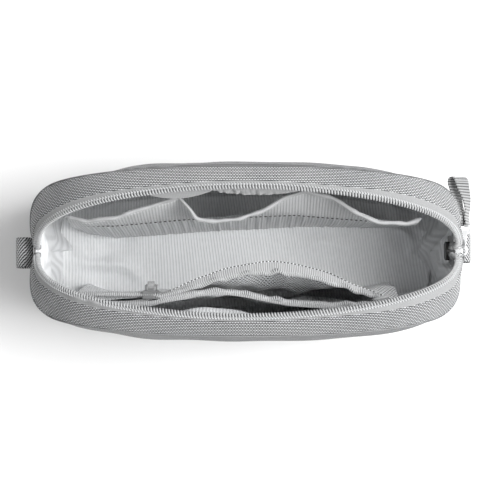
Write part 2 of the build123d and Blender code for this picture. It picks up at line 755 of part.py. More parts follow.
for name, edge, row, side in (
    ("inner", mesh_mouth, inner_row, -1),
    ("outer", divider_mouth, outer_row, 1),
):
    with BuildPart() as tape:
        with BuildSketch(Plane.XY.offset(TAPE_LEVEL)):
            near = [(x, edge(x)) for x in open_stations]
            far = [(x, row(x) - side * (MESH_ROW + 0.3)) for x in reversed(open_stations)]
            with BuildLine():
                Spline(*near)
                Line(near[-1], far[0])
                Spline(*far)
                Line(far[-1], near[0])
            make_face()
        extrude(amount=MESH_TAPE)
        straight_middle = CHAIN_Z + side * (MESH_ROW_OFFSET + MESH_ROW + GAP + 1.9)
        with Locations(((CHAIN_START + CHAIN_END) / 2, CHAIN_Y, straight_middle)):
            Box(CHAIN_END - CHAIN_START, MESH_TAPE, 3.8)
    save(tape, f"mesh_tape_{name}")

    route = [(CHAIN_START, CHAIN_Y, CHAIN_Z + side * MESH_ROW_OFFSET)]
    route += [(CHAIN_END, CHAIN_Y, CHAIN_Z + side * MESH_ROW_OFFSET)]
    route += [(x, row(x), TAPE_LEVEL + MESH_TAPE / 2) for x in open_stations[1:]]
    with BuildPart() as teeth:
        with BuildLine() as path:
            FilletPolyline(*route, radius=largest_radii(route))
        with BuildSketch(Plane(origin=path.line @ 0, z_dir=path.line % 0)):
            Circle(MESH_ROW)
        sweep()
    save(teeth, f"mesh_teeth_{name}")

with BuildPart() as mesh_zip_ends:
    with Locations((CHAIN_START - 1.6, CHAIN_Y, CHAIN_Z)):
        Box(2.4, 1.6, 11.0)
    with Locations((MESH_ZIP_END + 2.0, (inner_row(MESH_ZIP_END) + outer_row(MESH_ZIP_END)) / 2, TAPE_LEVEL + 0.7)):
        Box(3.0, 5.6, 1.6)
save(mesh_zip_ends, "mesh_zip_ends")

# The mesh pocket's slider stands upright on the closed chain, with its crown towards the middle of the pouch.
MESH_SLIDER_X = -46.0
MESH_SLIDER_LENGTH = 8.0
MESH_SLIDER_WIDTH = 7.6
MESH_SLIDER_DEPTH = 4.2
MESH_PLATE = 0.8
MESH_FLANGE = 0.7
MESH_FLANGE_GAP = 1.1
MESH_WEDGE = 0.6
mesh_channel = MESH_SLIDER_DEPTH - 2 * MESH_PLATE

with BuildPart() as mesh_slider_body:
    for facing in (-1, 1):
        with Locations((MESH_SLIDER_X, CHAIN_Y + facing * (mesh_channel + MESH_PLATE) / 2, CHAIN_Z)):
            Box(MESH_SLIDER_LENGTH, MESH_PLATE, MESH_SLIDER_WIDTH)
        for side in (-1, 1):
            with Locations(
                (
                    MESH_SLIDER_X - 1.0,
                    CHAIN_Y + facing * (mesh_channel + MESH_FLANGE_GAP) / 4,
                    CHAIN_Z + side * (MESH_SLIDER_WIDTH - MESH_FLANGE) / 2,
                )
            ):
                Box(MESH_SLIDER_LENGTH - 2, (mesh_channel - MESH_FLANGE_GAP) / 2, MESH_FLANGE)
    with Locations((MESH_SLIDER_X + MESH_SLIDER_LENGTH / 2 - 1.2, CHAIN_Y, CHAIN_Z)):
        Box(2.2, mesh_channel, MESH_WEDGE)
    fillet(mesh_slider_body.faces().sort_by(Axis.Y)[-1].edges(), 0.3)
    fillet(mesh_slider_body.faces().sort_by(Axis.Y)[0].edges(), 0.3)
save(mesh_slider_body, "mesh_slider_body")

MESH_BAR = 1.1
MESH_CROWN_WIDTH = 1.6
MESH_CROWN_OPENING = 4.2
mesh_plate_face = CHAIN_Y + MESH_SLIDER_DEPTH / 2
mesh_bar_y = mesh_plate_face + 2.45
mesh_crown_tip = mesh_bar_y + MESH_BAR / 2

with BuildPart() as mesh_slider_crown:
    with BuildSketch(Plane.XY.offset(CHAIN_Z - MESH_CROWN_WIDTH / 2)):
        with Locations((MESH_SLIDER_X, (mesh_plate_face + mesh_crown_tip) / 2)):
            Rectangle(MESH_CROWN_OPENING + 1.8, mesh_crown_tip - mesh_plate_face)
        with Locations((MESH_SLIDER_X, (mesh_plate_face + mesh_crown_tip) / 2 - MESH_BAR)):
            Rectangle(MESH_CROWN_OPENING, mesh_crown_tip - mesh_plate_face, mode=Mode.SUBTRACT)
        fillet(vertices().group_by(Axis.Y)[-1], 0.9)
    extrude(amount=MESH_CROWN_WIDTH)
save(mesh_slider_crown, "mesh_slider_crown")

MESH_EYE_HOLE = 1.3
MESH_EYE_RADIUS = 2.1
MESH_PULL_NECK = 3.4
MESH_PULL_WIDTH = 5.6
MESH_PULL_LENGTH = 17.0
MESH_PULL_THICKNESS = 1.0

with BuildPart() as mesh_pull_tab:
    with BuildSketch(Plane.YZ.offset(MESH_SLIDER_X - MESH_PULL_NECK / 2)):
        with Locations((mesh_bar_y, CHAIN_Z)):
            Circle(MESH_EYE_RADIUS)
            Circle(MESH_EYE_HOLE, mode=Mode.SUBTRACT)
    extrude(amount=MESH_PULL_NECK)
    with BuildSketch(Plane.XZ.offset(-mesh_bar_y - MESH_PULL_THICKNESS / 2)):
        with Locations((MESH_SLIDER_X, CHAIN_Z - 3.6)):
            Rectangle(MESH_PULL_NECK, 4.0)
        with Locations((MESH_SLIDER_X, CHAIN_Z - (MESH_PULL_LENGTH + 4.2) / 2)):
            RectangleRounded(MESH_PULL_WIDTH, MESH_PULL_LENGTH - 4.2, 1.6)
    extrude(amount=MESH_PULL_THICKNESS)
save(mesh_pull_tab, "mesh_pull_tab")
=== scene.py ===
"""Looks of the cable organizer pouch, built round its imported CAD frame.

The pouch stands open on a pale table, seen from straight above. Shapes are worked out in millimetres,
with the CAD part's own formulas, and go to metres when a mesh is made. Every fabric vertex carries a
"cloth" attribute: its place in the flat cloth in millimetres, which the woven materials read.
"""

from math import cos, pi, radians, sin, sqrt

import bpy
import numpy as np
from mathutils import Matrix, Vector


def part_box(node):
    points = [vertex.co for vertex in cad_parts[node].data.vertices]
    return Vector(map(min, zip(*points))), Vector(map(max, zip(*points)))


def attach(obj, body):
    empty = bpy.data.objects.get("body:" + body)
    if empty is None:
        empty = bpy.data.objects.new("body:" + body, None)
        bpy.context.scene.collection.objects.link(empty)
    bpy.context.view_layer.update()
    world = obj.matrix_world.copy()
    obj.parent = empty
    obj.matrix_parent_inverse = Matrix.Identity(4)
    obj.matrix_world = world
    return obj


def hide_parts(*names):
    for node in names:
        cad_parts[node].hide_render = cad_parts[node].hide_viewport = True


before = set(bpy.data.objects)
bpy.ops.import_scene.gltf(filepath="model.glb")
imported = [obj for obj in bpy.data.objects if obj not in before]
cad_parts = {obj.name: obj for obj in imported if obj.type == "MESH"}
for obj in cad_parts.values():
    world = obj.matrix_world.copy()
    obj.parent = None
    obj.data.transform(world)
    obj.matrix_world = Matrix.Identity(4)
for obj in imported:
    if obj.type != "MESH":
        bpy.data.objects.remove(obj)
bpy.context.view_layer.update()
MM = 0.001

# ---- driving dimensions, as in the CAD part ----
HALF_LENGTH = 107.5
HALF_DEPTH = 45.6
RIM_HALF_LENGTH = 103.0
RIM_HALF_DEPTH = 30.9
RIM_HEIGHT = 127.0
ZIP_END_HEIGHT = 88.0
CORNER = 0.9116
SEAM_HEIGHT = 114.0
SEAM_CORNER_HEIGHT = 72.0
BASE = 1.4
SLIDER_END_REACH = 2.4     # how much further out the mouth reaches at the slider end
END_HEIGHT = 80.0          # top of the end walls, where the bands take over
COIL_PITCH = 1.45
CHAIN_FOOT = 68.3
CHAIN_HALF = 1.9           # each tooth row's distance from the middle where the chain is closed
SEAM_TURN = 98.0           # the top seam leaves the panels here and crosses the end walls
OUTLINE_POWER = 2.2        # with the next, roundness of the body's outline in plan
BULGE_POWER = 0.193
BACK_FLATTENING = 1.9      # how much flatter the back panel is than the front one
PANEL_FOOT = 0.3 * BASE
END_PINCH = 2.6            # how far the end walls are drawn in at their middle
WAVE_COUNT = 7


def leaning_in(z, foot, top, rise=54):
    """How far a wall leans in at height z: by foot at the table, and by top above its widest part."""
    low = np.maximum(0, 1 - z / 50)
    high = np.maximum(0, (z - 60) / rise)
    return foot * low**2.2 + top * high**2


def half_length(z):
    return HALF_LENGTH - leaning_in(z, 9.5, 1.5)


def half_depth(z):
    return HALF_DEPTH - leaning_in(z, 14.6, 3.2)


def lining_length(z):
    return half_length(z) - 6.0


def lining_depth(z):
    return 37.5 - leaning_in(z, 9.5, 3.6, rise=60)


def seam_tuck(z):
    """How far the shell leans in towards the seam under the bands."""
    return 1.5 * smooth(z, 78, 112)


def bulge(share):
    return np.maximum(0, 1 - np.abs(share) ** OUTLINE_POWER) ** BULGE_POWER


def arch(x, foot, top, half):
    return foot + (top - foot) * np.sqrt(np.maximum(0, 1 - (np.abs(x) / half) ** 4))


def seam_height(x):
    return arch(x, SEAM_CORNER_HEIGHT, SEAM_HEIGHT, 101.0)


def rim_depth(x):
    return RIM_HALF_DEPTH * np.maximum(0, 1 - (np.abs(x) / RIM_HALF_LENGTH) ** 1.8) ** 0.38


def rim_height(x):
    return arch(x, ZIP_END_HEIGHT, RIM_HEIGHT, RIM_HALF_LENGTH)


def smooth(value, low, high):
    """Smooth step from 0 at low to 1 at high."""
    t = np.clip((value - low) / (high - low), 0, 1)
    return t * t * (3 - 2 * t)


def waves(u, v, size, seed):
    """Seeded soft noise of about unit height: crossing sine waves whose lengths lie round size."""
    draw = np.random.default_rng(seed)
    total = np.zeros(np.broadcast(u, v).shape)
    for _ in range(WAVE_COUNT):
        angle = draw.uniform(0, pi)
        length = size * draw.uniform(0.6, 1.7)
        phase = draw.uniform(0, 2 * pi)
        total = total + np.sin(2 * pi * (u * cos(angle) + v * sin(angle)) / length + phase)
    return total / sqrt(WAVE_COUNT / 2)


def reach_along(path):
    """The length of a path up to each of its points."""
    return np.concatenate([[0], np.cumsum(np.linalg.norm(np.diff(path, axis=0), axis=1))])


def resample(points, count):
    """The polyline read at evenly spaced stations along its length."""
    points = np.asarray(points, float)
    reach = reach_along(points)
    wanted = np.linspace(0, reach[-1], count)
    return np.stack([np.interp(wanted, reach, points[:, i]) for i in range(points.shape[1])], axis=1)


def path_length(points):
    return float(np.linalg.norm(np.diff(points, axis=0), axis=1).sum())


def read_path(path, share):
    """The path read at the given shares of its run of points."""
    place = np.linspace(0, 1, len(path))
    return np.stack([np.interp(share, place, path[:, i]) for i in range(3)], axis=1)


def softened(points, passes):
    """The polyline with its corners eased, ends held."""
    points = np.array(points, float)
    for _ in range(passes):
        points[1:-1] = (points[:-2] + 2 * points[1:-1] + points[2:]) / 4
    return points


# ---- node materials ----
class Shader:
    """A Principled material and short ways to add its nodes."""

    def __init__(self, name, roughness=0.9, metallic=0.0, sheen=0.0, specular=0.3):
        self.material = bpy.data.materials.new(name)
        self.material.use_nodes = True
        self.tree = self.material.node_tree
        self.surface = self.tree.nodes["Principled BSDF"]
        self.surface.inputs["Roughness"].default_value = roughness
        self.surface.inputs["Metallic"].default_value = metallic
        self.surface.inputs["Specular IOR Level"].default_value = specular
        if sheen:
            self.surface.inputs["Sheen Weight"].default_value = sheen
            self.surface.inputs["Sheen Roughness"].default_value = 0.5

    def node(self, kind, **settings):
        made = self.tree.nodes.new(kind)
        for key, value in settings.items():
            setattr(made, key, value)
        return made

    def feed(self, socket, value):
        if isinstance(value, bpy.types.NodeSocket):
            self.tree.links.new(value, socket)
        else:
            socket.default_value = value

    def math(self, operation, a, b=0.0, c=0.0):
        made = self.node("ShaderNodeMath", operation=operation)
        for socket, value in zip(made.inputs, (a, b, c)):
            self.feed(socket, value)
        return made.outputs[0]

    def cloth(self):
        """The two cloth coordinates, in millimetres."""
        read = self.node("ShaderNodeAttribute", attribute_name="cloth")
        parts = self.node("ShaderNodeSeparateXYZ")
        self.feed(parts.inputs[0], read.outputs["Vector"])
        return parts.outputs[0], parts.outputs[1]

    def noise(self, scale, detail=2.0):
        """Soft noise read at the point on the object, in metres."""
        made = self.node("ShaderNodeTexNoise")
        self.feed(made.inputs["Vector"], self.node("ShaderNodeTexCoord").outputs["Object"])
        made.inputs["Scale"].default_value = scale
        made.inputs["Detail"].default_value = detail
        made.inputs["Roughness"].default_value = 0.5
        return made.outputs["Fac"]

    def flecked(self, value, scale, amount, detail=2.0):
        """A value with noise added to it."""
        return self.math("MULTIPLY_ADD", self.noise(scale, detail), amount, value)

    def wave(self, value, pitch, shift=0.0):
        """0 to 1 sine of a coordinate with the given pitch."""
        turned = self.math("MULTIPLY_ADD", value, 2 * pi / pitch, shift)
        return self.math("MULTIPLY_ADD", self.math("SINE", turned), 0.5, 0.5)

    def mix(self, share, a, b):
        made = self.node("ShaderNodeMix", data_type="RGBA")
        self.feed(made.inputs[0], share)
        for socket, colour in ((made.inputs[6], a), (made.inputs[7], b)):
            self.feed(socket, colour if isinstance(colour, bpy.types.NodeSocket) else (*colour, 1.0))
        return made.outputs[2]

    def clamp(self, value, low=0.0, high=1.0):
        made = self.node("ShaderNodeMapRange", interpolation_type="SMOOTHSTEP")
        self.feed(made.inputs[0], value)
        made.inputs[1].default_value = low
        made.inputs[2].default_value = high
        return made.outputs[0]

    def colour(self, socket):
        self.feed(self.surface.inputs["Base Color"], socket)

    def tone(self, value, low, high, dark, light):
        """Colour the surface from one grey to another as a value goes from low to high."""
        self.colour(self.mix(self.clamp(value, low, high), grey(dark), grey(light)))

    def bump(self, height, distance_mm):
        made = self.node("ShaderNodeBump")
        made.inputs["Strength"].default_value = 1.0
        made.inputs["Distance"].default_value = distance_mm * MM
        self.feed(made.inputs["Height"], height)
        self.feed(self.surface.inputs["Normal"], made.outputs[0])


def grey(value, tint=0.012):
    """A near-neutral colour, very slightly cool."""
    return (value * (1 - tint), value, value * (1 + tint))


def woven(name, light, dark, dash_pitch, row_pitch, contrast=0.8, bump_mm=0.28):
    """Two-tone weave: dashes of pale yarn in rows over darker yarn, each row shifted by half a dash."""
    s = Shader(name, roughness=0.9, sheen=0.15)
    a, b = s.cloth()
    row = s.math("FLOOR", s.math("DIVIDE", b, row_pitch))
    dash_place = s.math("MULTIPLY_ADD", row, pi, s.math("MULTIPLY", a, 2 * pi / dash_pitch))
    jitter = s.math("MULTIPLY", s.noise(900.0, 1.0), 1.6)
    dash = s.math("MULTIPLY_ADD", s.math("SINE", s.math("ADD", dash_place, jitter)), 0.5, 0.5)
    rib = s.wave(b, row_pitch, -pi / 2)
    height = s.math("MULTIPLY", s.math("MULTIPLY_ADD", dash, 0.55, 0.45), rib)
    yarn = s.flecked(s.math("ADD", height, -0.25), 2600.0, 0.5)
    tone = s.clamp(yarn, 0.5 - contrast / 2, 0.5 + contrast / 2)
    broad = s.clamp(s.noise(28.0, 3.0), 0.3, 0.7)
    product = s.node("ShaderNodeMix", data_type="RGBA", blend_type="MULTIPLY")
    product.inputs[0].default_value = 1.0
    s.feed(product.inputs[6], s.mix(tone, grey(dark), grey(light)))
    s.feed(product.inputs[7], s.mix(broad, grey(0.88), grey(1.0, 0.0)))
    s.colour(product.outputs[2])
    s.bump(height, bump_mm)
    return s.material


def ribbed(name, light, dark, pitch, bump_mm=0.16, cross=0.35, roughness=0.55, sheen=0.35):
    """Thin lining cloth with fine straight ribs and a soft shine."""
    s = Shader(name, roughness=roughness, sheen=sheen, specular=0.45)
    a, b = s.cloth()
    rib = s.wave(s.flecked(a, 22.0, 1.1, detail=1.0), pitch)
    weft = s.wave(b, 0.62)
    s.tone(s.flecked(s.math("MULTIPLY", rib, 0.7), 420.0, 0.5), 0.15, 0.95, dark, light)
    s.bump(s.math("MULTIPLY_ADD", weft, cross, rib), bump_mm)
    return s.material


def tape_cloth(name, light, dark):
    """Fine herringbone zip tape."""
    s = Shader(name, roughness=0.8, sheen=0.2)
    a, b = s.cloth()
    fold = s.math("ABSOLUTE", s.math("SUBTRACT", s.math("FRACT", s.math("DIVIDE", b, 1.7)), 0.5))
    twill = s.wave(s.math("MULTIPLY_ADD", fold, 3.2, a), 0.72)
    s.tone(s.flecked(s.math("MULTIPLY", twill, 0.7), 1500.0, 0.4), 0.1, 0.9, dark, light)
    s.bump(twill, 0.12)
    return s.material


def plastic_yarn(name, value):
    """Nylon coil: pale, half-clear looking, with small changes of tone along it."""
    s = Shader(name, roughness=0.42, specular=0.5)
    s.tone(s.noise(700.0), 0.3, 0.7, value * 0.84, value)
    s.bump(s.noise(2500.0), 0.05)
    return s.material


def soft_binding(name, value):
    """Folded knit binding: smooth, pale, with a faint grain."""
    s = Shader(name, roughness=0.6, sheen=0.4, specular=0.4)
    grain = s.wave(s.cloth()[0], 0.8)
    fleck = s.flecked(s.math("MULTIPLY", grain, 0.2), 260.0, 0.8, detail=3.0)
    s.tone(fleck, 0.2, 0.8, value * 0.88, value)
    s.bump(s.math("ADD", s.math("MULTIPLY", grain, 0.3), s.noise(300.0)), 0.12)
    return s.material


def knitted_mesh(name, light, dark, pitch):
    """Pale knit with rows of small round holes, painted as dark dots: painted shade of the dark inside seen
    through the holes.
    """
    s = Shader(name, roughness=0.75, sheen=0.2)
    a, b = s.cloth()
    row = s.math("FLOOR", s.math("DIVIDE", b, pitch))
    across = s.math("ADD", s.math("DIVIDE", a, pitch), s.math("MULTIPLY", row, 0.5))
    da = s.math("SUBTRACT", s.math("FRACT", across), 0.5)
    db = s.math("SUBTRACT", s.math("FRACT", s.math("DIVIDE", b, pitch)), 0.5)
    far = s.math("SQRT", s.math("ADD", s.math("MULTIPLY", da, da), s.math("MULTIPLY", db, db)))
    knit = s.clamp(far, 0.22, 0.38)
    fleck = s.clamp(s.noise(1400.0), 0.3, 0.7)
    # near-black dots where the holes are: painted shade of the inside seen through the knit
    s.colour(s.mix(knit, grey(dark), s.mix(fleck, grey(light * 0.86), grey(light))))
    s.bump(knit, 0.3)
    return s.material


def twill_webbing(name, light, dark):
    """Heavy webbing with a bold twill of pale and dark yarns."""
    s = Shader(name, roughness=0.75, sheen=0.2)
    a, b = s.cloth()
    diagonal = s.wave(s.math("MULTIPLY_ADD", b, 0.8, a), 1.5)
    cord = s.wave(b, 1.2)
    height = s.math("MULTIPLY_ADD", diagonal, 0.75, s.math("MULTIPLY", cord, 0.25))
    s.tone(s.flecked(s.math("ADD", height, -0.17), 1600.0, 0.35), 0.25, 0.75, dark, light)
    s.bump(height, 0.3)
    return s.material


def grosgrain(name, light, dark, pitch):
    """Ribbon with bold crosswise ribs."""
    s = Shader(name, roughness=0.6, sheen=0.3, specular=0.4)
    a, b = s.cloth()
    rib = s.wave(a, pitch)
    fine = s.wave(b, 0.5)
    s.tone(s.flecked(s.math("MULTIPLY", rib, 0.8), 1200.0, 0.4), 0.15, 0.9, dark, light)
    s.bump(s.math("MULTIPLY_ADD", fine, 0.12, rib), 0.35)
    return s.material


def metal(name, value, roughness, metallic=1.0):
    """Polished metal with faint fine scratches; a near-black value is painted shade."""
    s = Shader(name, roughness=roughness, metallic=metallic, specular=0.5)
    s.tone(s.noise(340.0, 4.0), 0.35, 0.7, value * 0.9, value)
    s.feed(s.surface.inputs["Roughness"], s.flecked(roughness, 900.0, 0.05, detail=3.0))
    s.bump(s.noise(1300.0, 3.0), 0.01)
    return s.material


def plain_thread(name, value):
    s = Shader(name, roughness=0.7, sheen=0.2)
    s.colour(s.mix(s.noise(1800.0), grey(value * 0.75), grey(value)))
    s.bump(s.noise(3000.0, 1.0), 0.06)
    return s.material


LOOK = {
    "outer": woven("outer_weave", 0.72, 0.045, dash_pitch=1.35, row_pitch=0.9, contrast=0.55),
    "panel": woven("panel_weave", 0.36, 0.17, dash_pitch=0.9, row_pitch=0.8, bump_mm=0.2),
    "tape": tape_cloth("tape_weave", 0.40, 0.24),
    "coil": plastic_yarn("coil_nylon", 0.44),
    "lining": ribbed("lining_ribs", 0.86, 0.69, pitch=1.55, sheen=0.1),
    "pocket": ribbed("pocket_ribs", 0.66, 0.50, pitch=1.5, sheen=0.1),
    "binding": soft_binding("binding_knit", 0.40),
    # the dark value 0.05 is the painted shade seen through the mesh holes
    "mesh": knitted_mesh("mesh_knit", 0.93, 0.05, pitch=1.75),
    "webbing": twill_webbing("webbing_twill", 0.56, 0.025),
    "ribbon": grosgrain("ribbon_ribs", 0.34, 0.06, pitch=1.5),
    "thread": plain_thread("pale_thread", 0.56),
    "dark_thread": plain_thread("dark_thread", 0.05),
    "stop": plain_thread("stop_cloth", 0.22),
    "silver": metal("polished_metal", 0.26, roughness=0.27),
    # near-black metal for the main slider body: painted shade and painted dark reflection of its shaded
    # inside
    "shaded_slider_metal": metal("dark_metal", 0.022, roughness=0.4, metallic=0.5),
    "ribbed_tape": ribbed(
        "mesh_tape_ribs", 0.40, 0.27, pitch=1.1, bump_mm=0.2, cross=0.15, roughness=0.7
    ),
}


# ---- mesh making ----
def piece_from(name, vertices, faces, look, body, cloth):
    """A mesh object from points in millimetres, riding on a body."""
    mesh = bpy.data.meshes.new(name)
    corners = [tuple(v) for v in np.asarray(vertices) * MM]
    mesh.from_pydata(corners, [], [tuple(int(i) for i in f) for f in faces])
    attribute = mesh.attributes.new("cloth", "FLOAT_VECTOR", "POINT")
    flat = np.zeros((len(vertices), 3))
    flat[:, :2] = cloth
    attribute.data.foreach_set("vector", flat.ravel())
    mesh.validate()
    mesh.polygons.foreach_set("use_smooth", [True] * len(mesh.polygons))
    mesh.materials.append(LOOK[look])
    made = bpy.data.objects.new(name, mesh)
    bpy.context.collection.objects.link(made)
    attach(made, body)
    return made


def stand_in(piece, slot, *nodes):
    """Hide the CAD nodes that a piece stands for, if any. piece and slot are not used."""
    if nodes:
        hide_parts(*nodes)


def grid_faces(rows, columns, wrap=False):
    faces = []
    for row in range(rows - 1):
        low = row * columns
        high = low + columns
        for here in range(columns if wrap else columns - 1):
            after = (here + 1) % columns
            faces.append((low + here, low + after, high + after, high + here))
    return faces


def arc_cloth(points):
    """Cloth coordinates of a grid from its own lengths: a along the columns, b along the rows."""
    across = np.linalg.norm(np.diff(points, axis=1), axis=2)
    down = np.linalg.norm(np.diff(points, axis=0), axis=2)
    a = np.concatenate([np.zeros((points.shape[0], 1)), np.cumsum(across, axis=1)], axis=1)
    b = np.concatenate([np.zeros((1, points.shape[1])), np.cumsum(down, axis=0)], axis=0)
    return np.stack([a - a[:, -1:] / 2, b], axis=2)


def cloth_piece(name, points, look, thickness=0.0, cloth=None, wrap=False, offset=0.0):
    """A sheet of the pouch from a grid of points (rows, columns, 3), thickened by a modifier."""
    points = np.asarray(points, float)
    rows, columns = points.shape[:2]
    chart = arc_cloth(points) if cloth is None else np.asarray(cloth, float)
    faces = grid_faces(rows, columns, wrap)
    made = piece_from(name, points.reshape(-1, 3), faces, look, "pouch", chart.reshape(-1, 2))
    if thickness:
        solid = made.modifiers.new("thickness", "SOLIDIFY")
        solid.thickness = thickness * MM
        solid.offset = offset
    rounded = made.modifiers.new("rounded", "SUBSURF")
    rounded.levels = 0
    rounded.render_levels = 1
    return made


def frames_along(path, up):
    """Unit side and normal at each point of a path; side lies near the given direction."""
    tangent = np.gradient(path, axis=0)
    tangent /= np.linalg.norm(tangent, axis=1)[:, None]
    side = up - (up * tangent).sum(axis=1)[:, None] * tangent
    side /= np.linalg.norm(side, axis=1)[:, None]
    return side, np.cross(tangent, side)


def round_rings(path, radius, sides, up, flat=1.0):
    """A ring of points round each point of a path, and the angles of its points."""
    side, normal = frames_along(path, np.broadcast_to(np.asarray(up, float), path.shape))
    angles = np.linspace(0, 2 * pi, sides, endpoint=False)
    across = side[:, None] * (np.cos(angles)[None, :, None] * radius[:, None, None])
    over = normal[:, None] * (np.sin(angles)[None, :, None] * radius[:, None, None] * flat)
    return path[:, None] + across + over, angles


def capped_faces(rows, columns):
    """Faces of a closed tube of rings, with one face over each end."""
    first = tuple(range(columns))
    last = tuple(reversed(range((rows - 1) * columns, rows * columns)))
    return grid_faces(rows, columns, wrap=True) + [first, last]


def tube(name, path, radius, look, sides=8, flat=1.0, up=(0, 0, 1)):
    """A round or flattened tube of the pouch, its ends closed. radius may change along the path."""
    path = np.asarray(path, float)
    radius = np.broadcast_to(radius, (len(path),))
    rings, angles = round_rings(path, radius, sides, up, flat)
    around = np.tile(angles, len(path)) * float(radius.mean())
    chart = np.stack([np.repeat(reach_along(path), sides), around], axis=1)
    faces = capped_faces(len(path), sides)
    return piece_from(name, rings.reshape(-1, 3), faces, look, "pouch", chart)


def joined(name, objects):
    """Several pieces of one body as one object."""
    with bpy.context.temp_override(active_object=objects[0], selected_editable_objects=objects):
        bpy.ops.object.join()
    objects[0].name = name
    return objects[0]


# ---- curves of the mouth ----
def rim_path(side, count):
    """The tooth row from the left meeting point over the mouth, without the straight end."""
    x = RIM_HALF_LENGTH * np.sin(np.linspace(-pi / 2, pi / 2, 4001))
    y = np.maximum(rim_depth(x), CHAIN_HALF)
    x_out = x + SLIDER_END_REACH * smooth(x, 70, 103)
    points = resample(np.stack([x_out, side * y, rim_height(x)], axis=1), 400)
    return resample(softened(points, passes=14), count)


def plan_normal(path, side):
    """Unit normals of a path in plan, pointing out of the pouch."""
    tangent = np.gradient(path[:, :2], axis=0)
    tangent /= np.linalg.norm(tangent, axis=1)[:, None] + 1e-9
    return np.stack([-tangent[:, 1] * side, tangent[:, 0] * side, np.zeros(len(path))], axis=1)


TAPE_MIDDLE = 3.1          # plan width of the zip tape at the middle of the mouth
TAPE_LEFT = 4.2            # near its left end
TAPE_RIGHT = 5.4           # and near its right end


def fold_path(side, count):
    """Where the zip tape meets the woven band."""
    rim = rim_path(side, count)
    share = np.abs(rim[:, 0]) / RIM_HALF_LENGTH
    end = np.where(rim[:, 0] > 0, TAPE_RIGHT, TAPE_LEFT)
    width = TAPE_MIDDLE + (end - TAPE_MIDDLE) * smooth(share, 0.35, 0.85)
    width = width * (1 - 0.4 * smooth(share, 0.96, 1.0))
    fold = rim + plan_normal(rim, side) * width[:, None]
    fold[:, 2] -= 1.8 - 0.6 * share
    return fold


def seam_path(side, count):
    """The band's lower edge: along the panel's top seam, down the corners and across the end walls."""
    share = np.cos(np.linspace(0, pi / 2, 3001)) ** (2 / OUTLINE_POWER)
    x = share * HALF_LENGTH
    depth = bulge(share)
    rise = smooth(depth, 0.15, bulge(SEAM_TURN / HALF_LENGTH))
    end = END_HEIGHT + (seam_height(SEAM_TURN) - END_HEIGHT) * rise
    z = np.where(x < SEAM_TURN, seam_height(np.minimum(x, SEAM_TURN)), end)
    y = half_depth(z) * depth - seam_tuck(z)
    x = share * half_length(z) - END_PINCH * np.exp(-((y / 7.0) ** 2))
    half = np.stack([x, side * y, z], axis=1)
    whole = np.concatenate([half * [-1, 1, 1], half[-2::-1]])
    return softened(resample(whole, count), passes=3)


SLIT_OPEN = 9.5            # the bands part this far each side of the run of the slider


def band_foot(side, count):
    """The band's lower edge, raised to the tape beside the slit that the slider runs in."""
    low = seam_path(side, count)
    parted = 0.97 * smooth(SLIT_OPEN - np.abs(low[:, 1:2]), 0, 4.5) * (low[:, :1] > 0)
    return low * (1 - parted) + fold_path(side, count) * parted


# ---- outer shell ----
def build_panel(name, side, stand_off=0.0, drop=0.0, share=CORNER):
    """A front or back panel: padded, a little quilted at its seams."""
    u = np.linspace(-share, share, 121)
    v = np.linspace(0, 1, 61)
    grid_u, grid_v = np.meshgrid(u, v)
    top = seam_height(grid_u * HALF_LENGTH) - drop
    z = PANEL_FOOT + grid_v * (top - PANEL_FOOT)
    x = grid_u * half_length(z)
    y = half_depth(z) * bulge(grid_u) - seam_tuck(z)
    if side > 0:
        y = y - BACK_FLATTENING * smooth(z, 12, 55) * (1 - smooth(z, 88, 112))
    edge = np.minimum((share - np.abs(grid_u)) * 100, np.minimum(grid_v, 1 - grid_v) * 110)
    tuck = 1.1 * np.exp(-edge / 3.0)
    soft = 0.35 * waves(x, z, size=46, seed=3) * smooth(edge, 2, 14)
    y = y + stand_off * (1 - 0.8 * smooth(np.abs(grid_u), 0.52, 0.7))
    y = y - tuck * (0.3 if stand_off else 1.0) + soft
    points = np.stack([x, side * y, z], axis=2)
    chart = np.stack([x, z], axis=2)
    return cloth_piece(name, points, "panel", thickness=1.2, offset=side, cloth=chart)


def build_end_wall(name, side, notch):
    """An end wall, pinched in at the middle, with a slit for the end of the zip."""
    w = np.linspace(-1, 1, 91)
    v = np.linspace(0, 1, 61)
    grid_w, grid_v = np.meshgrid(w, v)
    rise = smooth(np.abs(grid_w), 0.15, 1.0)
    top = END_HEIGHT + (seam_height(SEAM_TURN) - END_HEIGHT) * rise + 1.0
    top = np.where(np.abs(grid_w) * 33 < 9.0, notch, top)
    z = PANEL_FOOT + grid_v * (top - PANEL_FOOT)
    corner = bulge(CORNER)
    y = half_depth(z) * corner * grid_w
    share = np.maximum(0, 1 - (np.abs(grid_w) * corner) ** (1 / BULGE_POWER)) ** (1 / OUTLINE_POWER)
    x = half_length(z) * share - END_PINCH * np.exp(-((y / 7.0) ** 2)) * smooth(z, -20, 60)
    x = x + 0.4 * waves(y, z, size=26, seed=5 + side)
    points = np.stack([side * x, y, z], axis=2)
    chart = np.stack([z, y], axis=2)
    return cloth_piece(name, points, "outer", thickness=1.0, offset=-side, cloth=chart)


def build_band(name, side):
    """The woven band between the panel's seam and the zip tape."""
    count = 261
    low = band_foot(side, count)
    high = fold_path(side, count)
    fullness = np.minimum(1, np.linalg.norm(high - low, axis=1) / 10)[:, None]
    out = plan_normal(seam_path(side, count), side) * fullness
    t = np.linspace(0, 1, 17)[:, None, None]
    middle = (low + high) / 2 + out * 1.0 + fullness * [0, 0, 1.9]
    points = (1 - t) ** 2 * low[None] + 2 * t * (1 - t) * middle[None] + t**2 * high[None]
    welt = 0.5 * np.exp(-((t - 0.06) / 0.05) ** 2)
    points = points + out[None] * welt
    chart = np.stack([points[:, :, 0], side * points[:, :, 1] - 0.12 * points[:, :, 2]], axis=2)
    return cloth_piece(name, points, "outer", thickness=1.0, offset=side, cloth=chart)


